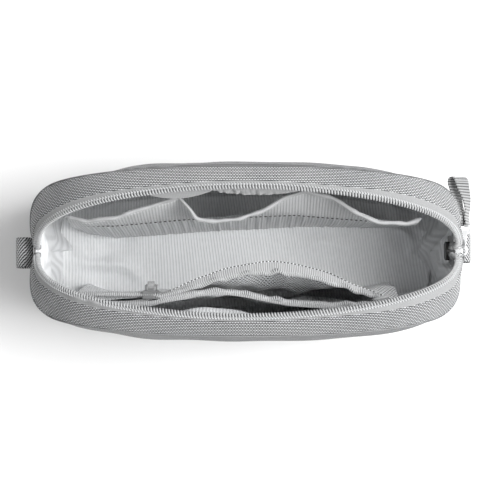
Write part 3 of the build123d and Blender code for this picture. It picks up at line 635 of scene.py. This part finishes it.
def build_tape(name, side):
    """The zip tape, from under the coil to the band."""
    count = 261
    rim = rim_path(side, count)
    fold = fold_path(side, count)
    t = np.linspace(0.02, 1, 9)[:, None, None]
    points = rim[None] * (1 - t) + fold[None] * t + np.array([0, 0, 0.5]) * np.sin(pi * t)
    if side < 0:
        x = points[:, :, 0]
        across = t[:, :, 0]
        stretch = np.exp(-(((x + 74) / 15) ** 2)) * np.sin(pi * across)
        points[:, :, 2] += 0.9 * stretch * waves(x, 6 * across + 0 * x, size=7.5, seed=62)
    return cloth_piece(name, points, "tape", thickness=0.6, offset=-side)


def helix(name, path, toward, radius_side, radius_up, pitch, wire, look, steps):
    """A flattened coil along a path. toward points from the row to its tape, at each point."""
    count = int(path_length(path) / pitch * steps)
    wanted = np.linspace(0, 1, count)
    centre = read_path(path, wanted)
    side, normal = frames_along(centre, read_path(toward, wanted))
    angle = np.arange(count) * 2 * pi / steps
    swing = side * (np.cos(angle) * radius_side)[:, None]
    line = centre + swing + normal * (np.sin(angle) * radius_up)[:, None]
    return tube(name, line, wire, look, sides=6, up=(0.31, 0.17, 0.93))


def chain_path(side):
    """The whole tooth row: the mouth, then the straight run down through the parked slider."""
    rim = rim_path(side, 500)
    start = [RIM_HALF_LENGTH, side * CHAIN_HALF, ZIP_END_HEIGHT - 0.4]
    run = np.linspace(start, [RIM_HALF_LENGTH, side * CHAIN_HALF, CHAIN_FOOT], 60)
    whole = np.concatenate([rim[:-6], run[6:]])
    return resample(softened(resample(whole, 700), passes=16), 700)


def build_coil(name, side):
    path = chain_path(side)
    out = plan_normal(path, side)
    straight = path[:, 2] < ZIP_END_HEIGHT - 1
    out[straight] = [0, side, 0]
    out = out + np.array([0, 0, -0.42])
    coil = helix("coil", path, out, 1.02, 0.9, COIL_PITCH, wire=0.40, look="coil", steps=9)
    stitch_line = path + out * 1.45 + np.array([0, 0, 0.8])
    stitch = helix("stitch", stitch_line, out, 0.5, 0.36, COIL_PITCH, wire=0.30, look="thread", steps=7)
    return joined(name, [coil, stitch])


# ---- lining ----
RING = 300                 # points round the lining bag
FLOOR_TURN = 6.0           # height at which the bag turns from wall to floor


def plan_half(length, depth, count, pinch=0.0):
    """The rear half of a plan outline from its left end to its right, its ends drawn in by pinch."""
    share = np.cos(np.linspace(0, pi / 2, 1500)) ** (2 / OUTLINE_POWER)
    y = bulge(share) * depth
    x = share * length - pinch * np.exp(-((y / 8.0) ** 2))
    half = np.concatenate([np.stack([-x, y], axis=1), np.stack([x, y], axis=1)[-2::-1]])
    return resample(half, count)


def lining_ring(z):
    """Plan ring of the lining bag at height z, starting at the left end and passing the rear first."""
    rear = plan_half(lining_length(z), lining_depth(z), RING // 2, pinch=3.0)
    return np.concatenate([rear, rear[::-1] * [1, -1]])


def crease(x, y, line, width, height):
    """A soft fold that runs along a line of plan points, highest at its middle."""
    line = resample(softened(resample(line, 40), passes=12), 60)
    apart = np.sqrt((x[..., None] - line[:, 0]) ** 2 + (y[..., None] - line[:, 1]) ** 2)
    nearest = apart.argmin(axis=-1)
    along = np.sin(pi * np.clip(nearest / 59, 0.02, 0.98)) ** 0.6
    return 1.5 * height * along * np.exp(-((apart.min(axis=-1) / width) ** 2))


# Folds of the floor lining: plan points, width and height of each, in millimetres.
FLOOR_FOLDS = (
    (((-97, 13), (-91, 2), (-85, -7), (-71, -6.5), (-63, -8), (-55, -16)), 3.2, 2.6),
    (((-93, -4), (-88, -14), (-80, -22)), 3.4, 2.4),
    (((-86, 12), (-80, 5), (-78, -4)), 3.0, 1.6),
    (((76, 13), (83, 10), (85, 4), (83, -2), (88, -7)), 2.0, 3.0),
    (((70, 15), (76, 8), (77, 1), (80, -7), (86, -12)), 2.2, 1.8),
    (((86, 14), (90, 9), (90, 2)), 1.8, 2.2),
    (((30, 3), (44, 5), (60, 1)), 3.4, 1.0),
)
WALL_ROWS = 46
SLIT_HALF = 8.0            # half width of the opening that the parked slider sits in
SLIT_FOOT = 66.0


def lining_top(side):
    """Where the bag hangs under the zip tape of one side."""
    path = rim_path(side, RING // 2)
    return path + plan_normal(path, side)


def build_lining():
    """One bag: hung from the tape all round the mouth, down the walls and over the floor."""
    rim = np.concatenate([lining_top(1), lining_top(-1)[::-1]])
    rim[:, 2] -= 1.2
    at_slit = np.where(rim[:, 0] > 90, smooth(SLIT_HALF - np.abs(rim[:, 1]), 0, 3.0), 0)
    rim[:, 2] = rim[:, 2] * (1 - at_slit) + SLIT_FOOT * at_slit
    heights = np.linspace(4, 126, 25)
    rings = np.stack([lining_ring(h) for h in heights])
    index = np.arange(RING)
    rows = []
    for i in range(WALL_ROWS):
        v = i / (WALL_ROWS - 1)
        z = rim[:, 2] + (FLOOR_TURN - rim[:, 2]) * v
        place = np.clip((z - heights[0]) / (heights[1] - heights[0]), 0, len(heights) - 1.001)
        base = place.astype(int)
        share = (place - base)[:, None]
        plan = rings[base, index] * (1 - share) + rings[base + 1, index] * share
        hang = smooth(np.full(RING, v), 0.0, 0.16)[:, None]
        rows.append(np.concatenate([rim[:, :2] * (1 - hang) + plan * hang, z[:, None]], axis=1))
    foot = rows[-1]
    for inward, level in ((0.985, 5.0), (0.965, 4.3), (0.94, 4.0)):
        rows.append(foot * [inward, inward, 0] + [0, 0, level])
    points = np.stack(rows)
    x, y, z = points[:, :, 0].copy(), points[:, :, 1].copy(), points[:, :, 2].copy()
    row = np.arange(len(rows))[:, None] + 0 * x
    wall = 1 - smooth(row, WALL_ROWS - 7, WALL_ROWS - 1)
    hang = smooth(row, 3, 15)
    left = smooth(-x, 30, 95)
    right = smooth(x, 55, 98)
    around = index[None, :] * 1.6 + 0 * x
    # folds that hang down the walls, and soft creases where the bag bunches at both ends
    fold = 0.9 * waves(around, z * 0.25, size=26, seed=21)
    fold += 1.4 * left * waves(around, z * 0.3, size=17, seed=22)
    fold += 1.9 * right * waves(around + 0.35 * z, z * 0.5, size=21, seed=23)
    fold *= wall * hang
    slack = 8.5 * np.exp(-(((x + 14) / 32) ** 2) - ((z - 91) / 15) ** 2) * smooth(-y, 15, 25)
    points[:, :, 1] += slack
    length = np.sqrt(x**2 + (2.2 * y) ** 2) + 1e-6
    points[:, :, 0] -= fold * x / length
    points[:, :, 1] -= fold * 2.2 * y / length
    chart = np.stack([x + 0.16 * y * smooth(x, -70, 0), y + z], axis=2)
    bag = cloth_piece("lining_bag", points, "lining", 0.5, cloth=chart, wrap=True, offset=1)
    stand_in(bag, "lining_fabric", "front_lining", "rear_lining", "left_lining", "right_lining")


def build_floor_lining():
    """The lining's bottom: a loose sheet, creased where the bag bunches at both ends."""
    ring = lining_ring(FLOOR_TURN)
    half = ring[: RING // 2]
    x = np.linspace(half[:, 0].min() + 0.5, half[:, 0].max() - 0.5, 170)[None, :]
    reach = np.interp(x, half[:, 0], half[:, 1]) + 0.4
    share = np.sin(np.linspace(-pi / 2, pi / 2, 61))[:, None]
    grid_x = x + 0 * share
    grid_y = share * reach
    ends = smooth(np.abs(grid_x), 30, 95)
    lift = 0.35 * waves(grid_x, grid_y, size=40, seed=26)
    lift = lift + 0.55 * ends * waves(grid_x, grid_y, size=17, seed=27)
    for line, width, height in FLOOR_FOLDS:
        lift = lift + crease(grid_x, grid_y, line, width, height)
    turn = smooth(np.abs(grid_x), 74, 93.5)
    grid_z = 4.3 + np.maximum(lift, -0.5) + 13 * turn**2
    grid_x = grid_x + 7.0 * turn * np.sign(grid_x)
    points = np.stack([grid_x, grid_y, grid_z], axis=2)
    chart = np.stack([grid_x + 0.16 * grid_y * smooth(grid_x, -70, 0), grid_y], axis=2)
    stand_in(cloth_piece("lining_floor", points, "lining", 0.5, chart), "lining_fabric", "floor_lining")


# ---- rear pockets ----
# Plan points of the pocket mouth, left to right: it swings in and out as the pockets gape.
POCKET_MOUTH = (
    (-88, 16.6), (-78, 14.4), (-64, 15.8), (-46, 21.4), (-32.5, 25.8), (-27, 20), (-24, 15.6),
    (-14, 14.8), (-3, 15.4), (7, 19), (18, 24.4), (29, 28.4), (41, 26), (51, 20.2), (65, 14.2),
    (79, 13.6), (86.5, 16.4),
)
POCKET_FOOT = ((-90, 9.5), (-72, 7.0), (-20, 10.5), (30, 13.0), (90, 12.5))
POCKET_SEAM = ((-90, 13.0), (-66, 13.0), (-30, 16.2), (25, 18.4), (60, 15.6), (90, 14.2))
STITCH_HEIGHT = 79.0
POCKET_FLOOR = 4.4


def organizer_top(x):
    return arch(x, 86.0, 105.0, 99.0)


def organizer_columns(count):
    """Even stations along the pocket mouth, its kinks eased a little."""
    return resample(softened(resample(POCKET_MOUTH, 240), passes=2), count)


def read_line(x, line):
    return np.interp(x, [p[0] for p in line], [p[1] for p in line])


def organizer_surface(columns, z):
    """Points of the pocket face over mouth stations: straight up to its sewn line, then out to the mouth."""
    x = columns[:, 0] * (0.96 + 0.04 * smooth(z, 0, 100))
    foot = read_line(columns[:, 0], POCKET_FOOT)
    seam = read_line(columns[:, 0], POCKET_SEAM)
    low = foot + (seam - foot) * np.clip(z / STITCH_HEIGHT, 0, 1) ** 1.3
    rise = (z - STITCH_HEIGHT) / (organizer_top(columns[:, 0]) - STITCH_HEIGHT)
    flare = np.clip(rise, 0, 1.15) ** 0.9
    return np.stack([x, low + (columns[:, 1] - seam) * flare, z], axis=-1)


def build_organizer():
    columns = organizer_columns(220)
    top = organizer_top(columns[:, 0])
    rows = np.linspace(0, 1, 60) ** 0.8
    grid = np.stack([organizer_surface(columns, POCKET_FLOOR + (top - POCKET_FLOOR) * r) for r in rows])
    x, z = grid[:, :, 0], grid[:, :, 2]
    low = smooth(-z, -STITCH_HEIGHT - 2, -STITCH_HEIGHT + 10)
    # the face puckers below its stitch line and hangs in soft waves above it
    grid[:, :, 1] -= 0.2 * waves(x, z * 0.03, size=3.6, seed=31) * low
    grid[:, :, 1] -= 0.45 * waves(x, z * 0.3, size=38, seed=32) * smooth(z, 4, 40) * (1 - 0.6 * low)
    grid[:, :, 1] += 0.7 * np.exp(-(((z - STITCH_HEIGHT) / 1.3) ** 2))
    chart = np.stack([x, z], axis=2)
    face = cloth_piece("organizer_face", grid, "pocket", 0.6, chart)
    stand_in(face, "organizer_fabric", "organizer_panel")


def build_binding():
    """The pale folded edge of the pockets: soft, a little lumpy, flat where it turns."""
    columns = organizer_columns(260)
    path = organizer_surface(columns, organizer_top(columns[:, 0]) + 1.6)
    x = path[:, 0]
    path[:, 1] += 0.22 * waves(x, 0 * x, size=14, seed=33)
    path[:, 2] += 0.5 * waves(x, 0 * x, size=19, seed=34)
    radius = 1.2 + 0.14 * waves(x, 0 * x, size=11, seed=35)
    radius[:4] *= np.linspace(0.4, 1, 4)
    radius[-4:] *= np.linspace(1, 0.4, 4)
    edge = tube("organizer_edge", path, radius, "binding", sides=12, flat=0.8)
    stand_in(edge, "binding", "organizer_binding")


def dashes(name, path, dash, gap, radius, look):
    """A row of stitches: short round threads that thin at both ends."""
    total = path_length(path)
    fine = resample(path, int(total / 0.25) + 2)
    thread = radius * np.array([0.35, 0.95, 1.0, 0.95, 0.35])
    sides = 6
    vertices, faces = [], []
    for i in range(int(total / (dash + gap))):
        begin = i * (dash + gap)
        share = np.linspace(begin, begin + dash, len(thread)) / total
        rings, _ = round_rings(read_path(fine, share), thread, sides, (0, 0, 1))
        start = len(vertices)
        vertices.extend(rings.reshape(-1, 3))
        faces.extend([tuple(start + k for k in f) for f in capped_faces(len(thread), sides)])
    return piece_from(name, vertices, faces, look, "pouch", np.zeros((len(vertices), 2)))


def build_stitch_line():
    columns = organizer_columns(260)[12:-10]
    path = organizer_surface(columns, np.full(len(columns), STITCH_HEIGHT))
    path[:, 1] -= 0.55
    row = dashes("organizer_stitches", path, dash=1.5, gap=0.9, radius=0.3, look="dark_thread")
    stand_in(row, "organizer_fabric")


def build_hems():
    """Two hems that hang just inside the rear tooth row: one smooth, one gathered."""
    for name, left, right, reach, drop, gathers in (
        ("smooth_hem", -46, -15, 3.0, 10.0, 0.0),
        ("gathered_hem", -17, 26, 2.8, 8.0, 0.26),
    ):
        x = np.linspace(left, right, 120)
        t = np.linspace(0, 1, 14)[:, None]
        bay = np.sin(pi * (x - left) / (right - left)) ** 0.8
        top = rim_depth(x) - 0.3
        y = top[None, :] - t * (0.5 + reach * bay)[None, :]
        z = rim_height(x)[None, :] - 1.8 - t**1.3 * (1 + drop * bay)[None, :]
        ripple = gathers * waves(x[None, :] + 0 * t, t * 2, size=2.6, seed=41) * smooth(t, 0.05, 0.6)
        ripple = ripple * (0.4 + 0.6 * smooth(-x, -14, 0)[None, :])
        points = np.stack([np.broadcast_to(x, y.shape), y - ripple, z + 0.6 * ripple], axis=2)
        stand_in(cloth_piece(name, points, "binding", thickness=0.7), "lining_fabric")


# ---- front pockets ----
MESH_LEFT = -84.0
MESH_RIGHT = 76.0
MESH_ZIP_RIGHT = 66.0
MESH_SLIDER_X = -46.0
MESH_TOP = 103.5
MESH_CHAIN_Y = -21.4
MESH_COIL_PITCH = 0.98


def bay(x, middle, half):
    return np.maximum(0, 1 - ((x - middle) / half) ** 2)


def mesh_mouth(x):
    return -24.5 + 19.3 * bay(x, 12, 71) ** 2


def divider_mouth(x):
    gape = 6.8 * np.exp(-(((x + 13) / 28) ** 2))
    return -28 * np.maximum(0, 1 - (np.abs(x) / 100) ** 5) ** 0.2 + gape


def divider_foot(x):
    return -25 * np.maximum(0, 1 - (np.abs(x) / 92) ** 4) ** 0.3


def mesh_foot(x):
    return divider_foot(x) + 4 * smooth(x, -74, -40)


def inner_row(x):
    return mesh_mouth(x) - 5 * np.maximum(0.3, 1 - ((x - 12) / 62) ** 2)


def outer_row(x):
    return divider_mouth(x) + 2


def leaning(name, mouth, foot, look, node, slot, seed, ripple, curl):
    """A pocket panel that leans from its foot on the floor to its mouth, most near the mouth."""
    x = np.linspace(MESH_LEFT, MESH_RIGHT, 150)
    rows = np.linspace(0, 1, 44)
    top = np.where(x > -38, MESH_TOP, 96.0 + (MESH_TOP - 96.0) * smooth(x, -40, -36))
    z = POCKET_FLOOR + (top[None, :] - POCKET_FLOOR) * rows[:, None]
    lean = (z / 103) ** curl
    y = foot(x)[None, :] + (mouth(x) - foot(x))[None, :] * lean
    slack = smooth(z, 4, 45) * (1 - 0.7 * smooth(z, 90, 103))
    y = y + ripple * waves(x[None, :] + 0 * z, z * 0.35, size=24, seed=seed) * slack
    points = np.stack([np.broadcast_to(x, z.shape), y, z], axis=2)
    chart = np.stack([points[:, :, 0], z], axis=2)
    if look == "mesh":
        chart[:, :, 1] *= 0.6
    stand_in(cloth_piece(name, points, look, thickness=0.5, cloth=chart), slot, node)


def small_tape(name, near, far, node):
    """One tape of the small zip, between two paths of the same length."""
    t = np.linspace(0, 1, 7)[:, None, None]
    points = near[None] * (1 - t) + far[None] * t + np.array([0, 0, 0.3]) * np.sin(pi * t)
    stand_in(cloth_piece(name, points, "ribbed_tape", thickness=0.55), "zip_tape", node)


def build_mesh_zip():
    """The small zip: closed from its left end to the slider, open and splayed from there on."""
    x = np.linspace(MESH_LEFT, MESH_ZIP_RIGHT, 260)
    lumps = waves(x, 0 * x, size=8.5, seed=51) * smooth(x, -36, -10)
    top = MESH_TOP + 0.3

    def level_line(y, height):
        return np.stack([x, y, np.full_like(x, height)], axis=1)

    sewn = level_line(mesh_mouth(x), top - 1.5)
    toothed = level_line(inner_row(x) + 0.5 * lumps, top)
    small_tape("mesh_inner_tape", sewn, toothed, "mesh_tape_inner")
    toothed = level_line(outer_row(x), top + 0.4)
    sewn = level_line(divider_mouth(x) - 0.2, top + 0.2)
    small_tape("mesh_outer_tape", toothed, sewn, "mesh_tape_outer")
    for label, row, side, level, lumpy in (
        ("inner", inner_row, 1, top - 0.2, 0.5),
        ("outer", outer_row, -1, top + 0.4, 0.35),
    ):
        closed = x < MESH_SLIDER_X + 3
        y = np.where(closed, MESH_CHAIN_Y + side * 0.3, row(x) + lumpy * lumps)
        z = np.where(closed, 103.0 + side * 0.9, level + 0.35 * lumps)
        path = softened(np.stack([x, y, z], axis=1), passes=6)
        toward = np.tile([0.0, float(side), 0.0], (len(path), 1))
        name = f"mesh_{label}_coil"
        coil = helix(name, path, toward, 0.95, 0.7, MESH_COIL_PITCH, wire=0.42, look="coil", steps=8)
        stand_in(coil, "zip_coil", f"mesh_teeth_{label}")


def build_mesh_zip_ends():
    """Folded fabric tabs that finish both ends of the small zip."""
    low, high = np.array(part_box("mesh_zip_ends")) / MM
    parts = []
    for centre in (low[0] + 3.0, high[0] - 3.0):
        t = np.linspace(-1, 1, 22)
        path = np.stack([centre + 3.6 * t, 0.8 * t - 23.0, 103.0 - 1.5 * t**2], axis=1)
        parts.append(tube("tab", path, 2.3 - 0.9 * t**4, "binding", sides=12, flat=0.5))
    stand_in(joined("mesh_zip_tabs", parts), "organizer_fabric", "mesh_zip_ends")


# ---- shell, base and trims ----
def contour(z, count, grow=0.0):
    """The outline of the shell in plan at height z, a closed ring."""
    rear = plan_half(half_length(z) + grow, half_depth(z) + grow, count // 2 + 1)
    return np.concatenate([rear, (rear * [1, -1])[-2:0:-1]])


def build_base():
    """A stiff padded base: flat below, a rounded edge, and a slight crown inside."""
    ring = contour(z=1.5, count=200)
    below = [(0.02, 0.0), (0.5, 0.0), (0.93, 0.0), (0.975, 0.35)]
    levels = below + [(0.985, 1.2), (0.975, 2.3), (0.9, 3.0), (0.5, 3.2), (0.02, 3.2)]
    rows = [np.concatenate([ring * share, np.full((len(ring), 1), z)], axis=1) for share, z in levels]
    points = np.stack(rows)
    count = len(ring)
    faces = grid_faces(len(levels), count, wrap=True)
    faces.append(tuple(reversed(range(count))))
    faces.append(tuple(range((len(levels) - 1) * count, len(levels) * count)))
    flat = points.reshape(-1, 3)
    base = piece_from("base_cloth", flat, faces, "panel", "pouch", flat[:, :2])
    stand_in(base, "outer_fabric", "base_panel", "base_foam")


def build_piping():
    """Round piping in the seams: round the base, up the four corners and under the bands."""
    parts = []
    ring = contour(z=2.5, count=320, grow=0.2)
    ring = np.concatenate([ring, ring[:2]])
    welt = np.concatenate([ring, np.full((len(ring), 1), 2.6)], axis=1)
    parts.append(tube("cord", welt, 0.95, "panel"))
    z = np.linspace(3, seam_height(SEAM_TURN) - 5, 90)
    thin = 0.75 - 0.6 * smooth(z, z[-1] - 16, z[-1])
    for side_x in (-1, 1):
        for side_y in (-1, 1):
            y = side_y * half_depth(z) * bulge(CORNER)
            path = np.stack([side_x * CORNER * half_length(z), y, z], axis=1)
            parts.append(tube("cord", path, thin, "panel", up=(1, 0, 0)))
    for side in (-1, 1):
        seam = band_foot(side, 300) + plan_normal(seam_path(side, 300), side) * 0.15
        parts.append(tube("cord", seam, 0.6, "panel"))
    stand_in(joined("seam_piping", parts), "outer_fabric")


def build_end_tapes():
    """The two tape ends beside the parked slider."""
    parts = []
    for side in (-1, 1):
        z = np.linspace(SLIT_FOOT + 0.5, ZIP_END_HEIGHT - 0.6, 24)
        out = np.linspace(1.6, 9.2, 12)
        grid_out, grid_z = np.meshgrid(out, z)
        x = RIM_HALF_LENGTH + 0.2 + 0.25 * waves(grid_out, grid_z, size=12, seed=61 + side)
        points = np.stack([x, side * grid_out, grid_z], axis=2)
        parts.append(cloth_piece("tape_end", points, "tape"))
    whole = joined("zip_tape_ends", parts)
    solid = whole.modifiers.new("thickness", "SOLIDIFY")
    solid.thickness = 0.55 * MM
    stand_in(whole, "zip_tape", "zip_end_tapes")


def band_strip(name, path, width_axis, width, look, body, thickness):
    """A flat strap along a path, its woven edges a little thinner than its middle."""
    columns = 11
    across = np.linspace(-0.5, 0.5, columns) * width
    tangent = np.gradient(path, axis=0)
    tangent /= np.linalg.norm(tangent, axis=1)[:, None]
    axis = width_axis if np.ndim(width_axis) == 2 else np.broadcast_to(width_axis, path.shape)
    normal = np.cross(tangent, axis)
    half = thickness / 2 * np.where(np.abs(np.linspace(-1, 1, columns)) > 0.9, 0.75, 1.0)
    middle = path[:, None] + axis[:, None] * across[None, :, None]
    rise = normal[:, None] * half[None, :, None]
    points = np.concatenate([middle + rise, (middle - rise)[:, ::-1]], axis=1)
    ring = points.shape[1]
    around = np.concatenate([across, across[::-1]])
    chart = np.stack([np.repeat(reach_along(path), ring), np.tile(around, len(path))], axis=1)
    faces = capped_faces(len(path), ring)
    return piece_from(name, points.reshape(-1, 3), faces, look, body, chart)


def build_end_loop(label, side):
    """A webbing loop sewn flat into the end wall, seen edge on from the front."""
    low, high = np.array(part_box(f"{label}_loop")) / MM
    middle = (low + high) / 2
    root = 107.4
    reach = max(abs(low[0]), abs(high[0]))
    thick = 1.1
    bend = (high[2] - low[2]) / 2 - thick / 2
    turn = reach - thick / 2 - bend
    angle = np.linspace(pi / 2, -pi / 2, 26)
    arc = np.stack([turn + bend * np.cos(angle), bend * np.sin(angle)], axis=1)
    upper = np.stack([np.linspace(root, turn, 10), np.linspace(bend * 0.45, bend, 10)], axis=1)
    lower = upper[::-1] * [1, -1]
    line = softened(resample(np.concatenate([upper[:-1], arc, lower[1:]]), 70), passes=4)
    path = np.stack([side * line[:, 0], np.full(len(line), middle[1]), middle[2] + line[:, 1]], axis=1)
    path[:, 1] += 0.5 * np.sin(line[:, 1] / bend * 1.4)
    width = high[1] - low[1] - 0.2
    body = f"{label}_strap"
    loop = band_strip(f"{label}_webbing", path, np.array([0.0, 1.0, 0.0]), width, "webbing", body, thick)
    stand_in(loop, "webbing", f"{label}_loop")


def build_ribbon():
    """The grosgrain pull: a loop through the link, sewn together near it and turning towards its tip."""
    splay = radians(8)
    start = np.array([109.2 + 13.15 * sin(splay), 13.15 * cos(splay), 73.8])
    tip = np.array([109.4, 37.4, 71.6])
    along = tip - start
    length = np.linalg.norm(along)
    along /= length
    flat = np.cross(along, [0, 0, 1.0])
    flat /= np.linalg.norm(flat)
    rise = np.cross(flat, along)
    angle = np.linspace(-pi / 2, pi / 2, 24)
    near_end = 0.6
    near_gap = 1.2
    far_gap = 2.6
    run_x = np.linspace(near_end, length - far_gap, 26)
    run_y = np.interp(np.linspace(0, 1, 26), [0, 0.14, 0.3, 0.6, 1], [near_gap, 0.6, 1.4, 2.4, far_gap])
    far = np.stack([length - far_gap + far_gap * np.cos(angle), far_gap * np.sin(angle)], axis=1)
    near = np.stack([near_end - near_gap * np.cos(angle), near_gap * np.sin(angle)], axis=1)
    run = np.stack([run_x, run_y], axis=1)
    line = np.concatenate([run[::-1], near[::-1][1:-1], run * [1, -1], far[1:-1]])
    line = np.concatenate([line, line[:1]])
    line = softened(resample(line, 150), passes=3)
    roll = radians(18) + radians(34) * smooth(line[:, :1], 5, length)
    gap_axis = flat * np.cos(roll) + rise * np.sin(roll)
    width_axis = np.cross(along, gap_axis)
    swell = 2.2 * smooth(line[:, :1], 6, length)
    path = start + along * line[:, :1] + gap_axis * line[:, 1:] - flat * swell
    loop = band_strip("ribbon_loop", path, width_axis, 9.4, "ribbon", "ribbon", thickness=0.75)
    stand_in(loop, "grosgrain", "ribbon_pull")


# ---- build everything ----
for label, side in (("front", -1), ("back", 1)):
    panel = build_panel(f"{label}_panel_cloth", side)
    stand_in(panel, "outer_fabric", f"{label}_panel", f"{label}_foam")

pocket = build_panel("back_pocket_cloth", 1, stand_off=1.4, drop=3.5, share=0.80)
stand_in(pocket, "outer_fabric", "back_pocket_panel")

for label, side, notch in (("left", -1, 79.0), ("right", 1, 64.0)):
    wall = build_end_wall(f"{label}_end_cloth", side, notch)
    stand_in(wall, "outer_fabric", f"{label}_gusset")

for label, side in (("front", -1), ("rear", 1)):
    stand_in(build_band(f"{label}_band_cloth", side), "band_fabric", f"{label}_band")
    stand_in(build_tape(f"{label}_tape_cloth", side), "zip_tape", f"{label}_zip_tape")
    stand_in(build_coil(f"{label}_zip_coil", side), "zip_coil", f"{label}_zip_teeth")

build_base()
build_piping()
build_end_tapes()
build_lining()
build_floor_lining()
build_organizer()
build_binding()
build_stitch_line()
build_hems()
leaning(
    "mesh_face", mesh_mouth, mesh_foot, "mesh",
    node="mesh_panel", slot="mesh", seed=52, ripple=0.8, curl=2.8,
)
leaning(
    "slip_panel", divider_mouth, divider_foot, "lining",
    node="slip_divider", slot="organizer_fabric", seed=53, ripple=1.0, curl=1.5,
)
build_mesh_zip()
build_mesh_zip_ends()
build_end_loop("left", -1)
build_end_loop("right", 1)
build_ribbon()

for node, look in (
    # the main slider body is coloured near black: painted shade, not a finish
    ("main_slider_body", "shaded_slider_metal"),
    ("main_slider_crown", "silver"),
    ("main_pull_link", "silver"),
    ("mesh_slider_body", "silver"),
    ("mesh_slider_crown", "silver"),
    ("mesh_pull_tab", "ribbon"),
    ("zip_bottom_stop", "stop"),
    ("zip_top_stops", "stop"),
):
    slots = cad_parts[node].data.materials
    for i in range(len(slots)):
        slots[i] = LOOK[look]

# ---- floor, light and camera ----
bpy.ops.mesh.primitive_plane_add(size=6.0, location=(0, 0, 0))
floor = bpy.context.object
floor.name = "floor"
paper = Shader("floor_paper", roughness=0.95, specular=0.1)
paper.colour(paper.mix(paper.noise(6.0), (0.92, 0.92, 0.92), (0.95, 0.95, 0.95)))
floor.data.materials.append(paper.material)

SKY_LEAN = (0.6, 0, 0.8)   # the sky brightens this way: right and up
SKY_LOW = -0.3
SKY_HIGH = 1.0
SKY_DARK = 0.22
SKY_BRIGHT = 0.76
scene = bpy.context.scene
scene.view_settings.view_transform = "Standard"
world = bpy.data.worlds.new("studio")
world.use_nodes = True
sky = world.node_tree
sky.nodes["Background"].inputs[0].default_value = (1, 1, 1, 1)
aim = sky.nodes.new("ShaderNodeTexCoord")
lean = sky.nodes.new("ShaderNodeVectorMath")
lean.operation = "DOT_PRODUCT"
lean.inputs[1].default_value = SKY_LEAN
rise = sky.nodes.new("ShaderNodeMapRange")
rise.interpolation_type = "SMOOTHSTEP"
rise.inputs[1].default_value = SKY_LOW
rise.inputs[2].default_value = SKY_HIGH
rise.inputs[3].default_value = SKY_DARK
rise.inputs[4].default_value = SKY_BRIGHT
sky.links.new(aim.outputs["Generated"], lean.inputs[0])
sky.links.new(lean.outputs["Value"], rise.inputs[0])
sky.links.new(rise.outputs[0], sky.nodes["Background"].inputs[1])
scene.world = world

KEY_PLACE = Vector((0.66, 0.06, 1.12))
KEY_AIM = Vector((0, 0, 0.08))
KEY_SIZE = 0.8
KEY_POWER = 24.0
light = bpy.data.lights.new("key", "AREA")
light.shape = "RECTANGLE"
light.size = KEY_SIZE
light.size_y = KEY_SIZE
light.energy = KEY_POWER
lamp = bpy.data.objects.new("key", light)
lamp.location = KEY_PLACE
lamp.rotation_euler = (KEY_AIM - KEY_PLACE).to_track_quat("-Z", "Y").to_euler()
bpy.context.collection.objects.link(lamp)

CAMERA_LENS = 147.06
CAMERA_PLACE = (0.0024, 0.0005, 1.103)
camera_data = bpy.data.cameras.new("camera")
camera_data.lens = CAMERA_LENS
camera_data.sensor_width = 36.0
camera_data.clip_start = 0.01
camera = bpy.data.objects.new("camera", camera_data)
camera.location = CAMERA_PLACE
bpy.context.collection.objects.link(camera)
scene.camera = camera
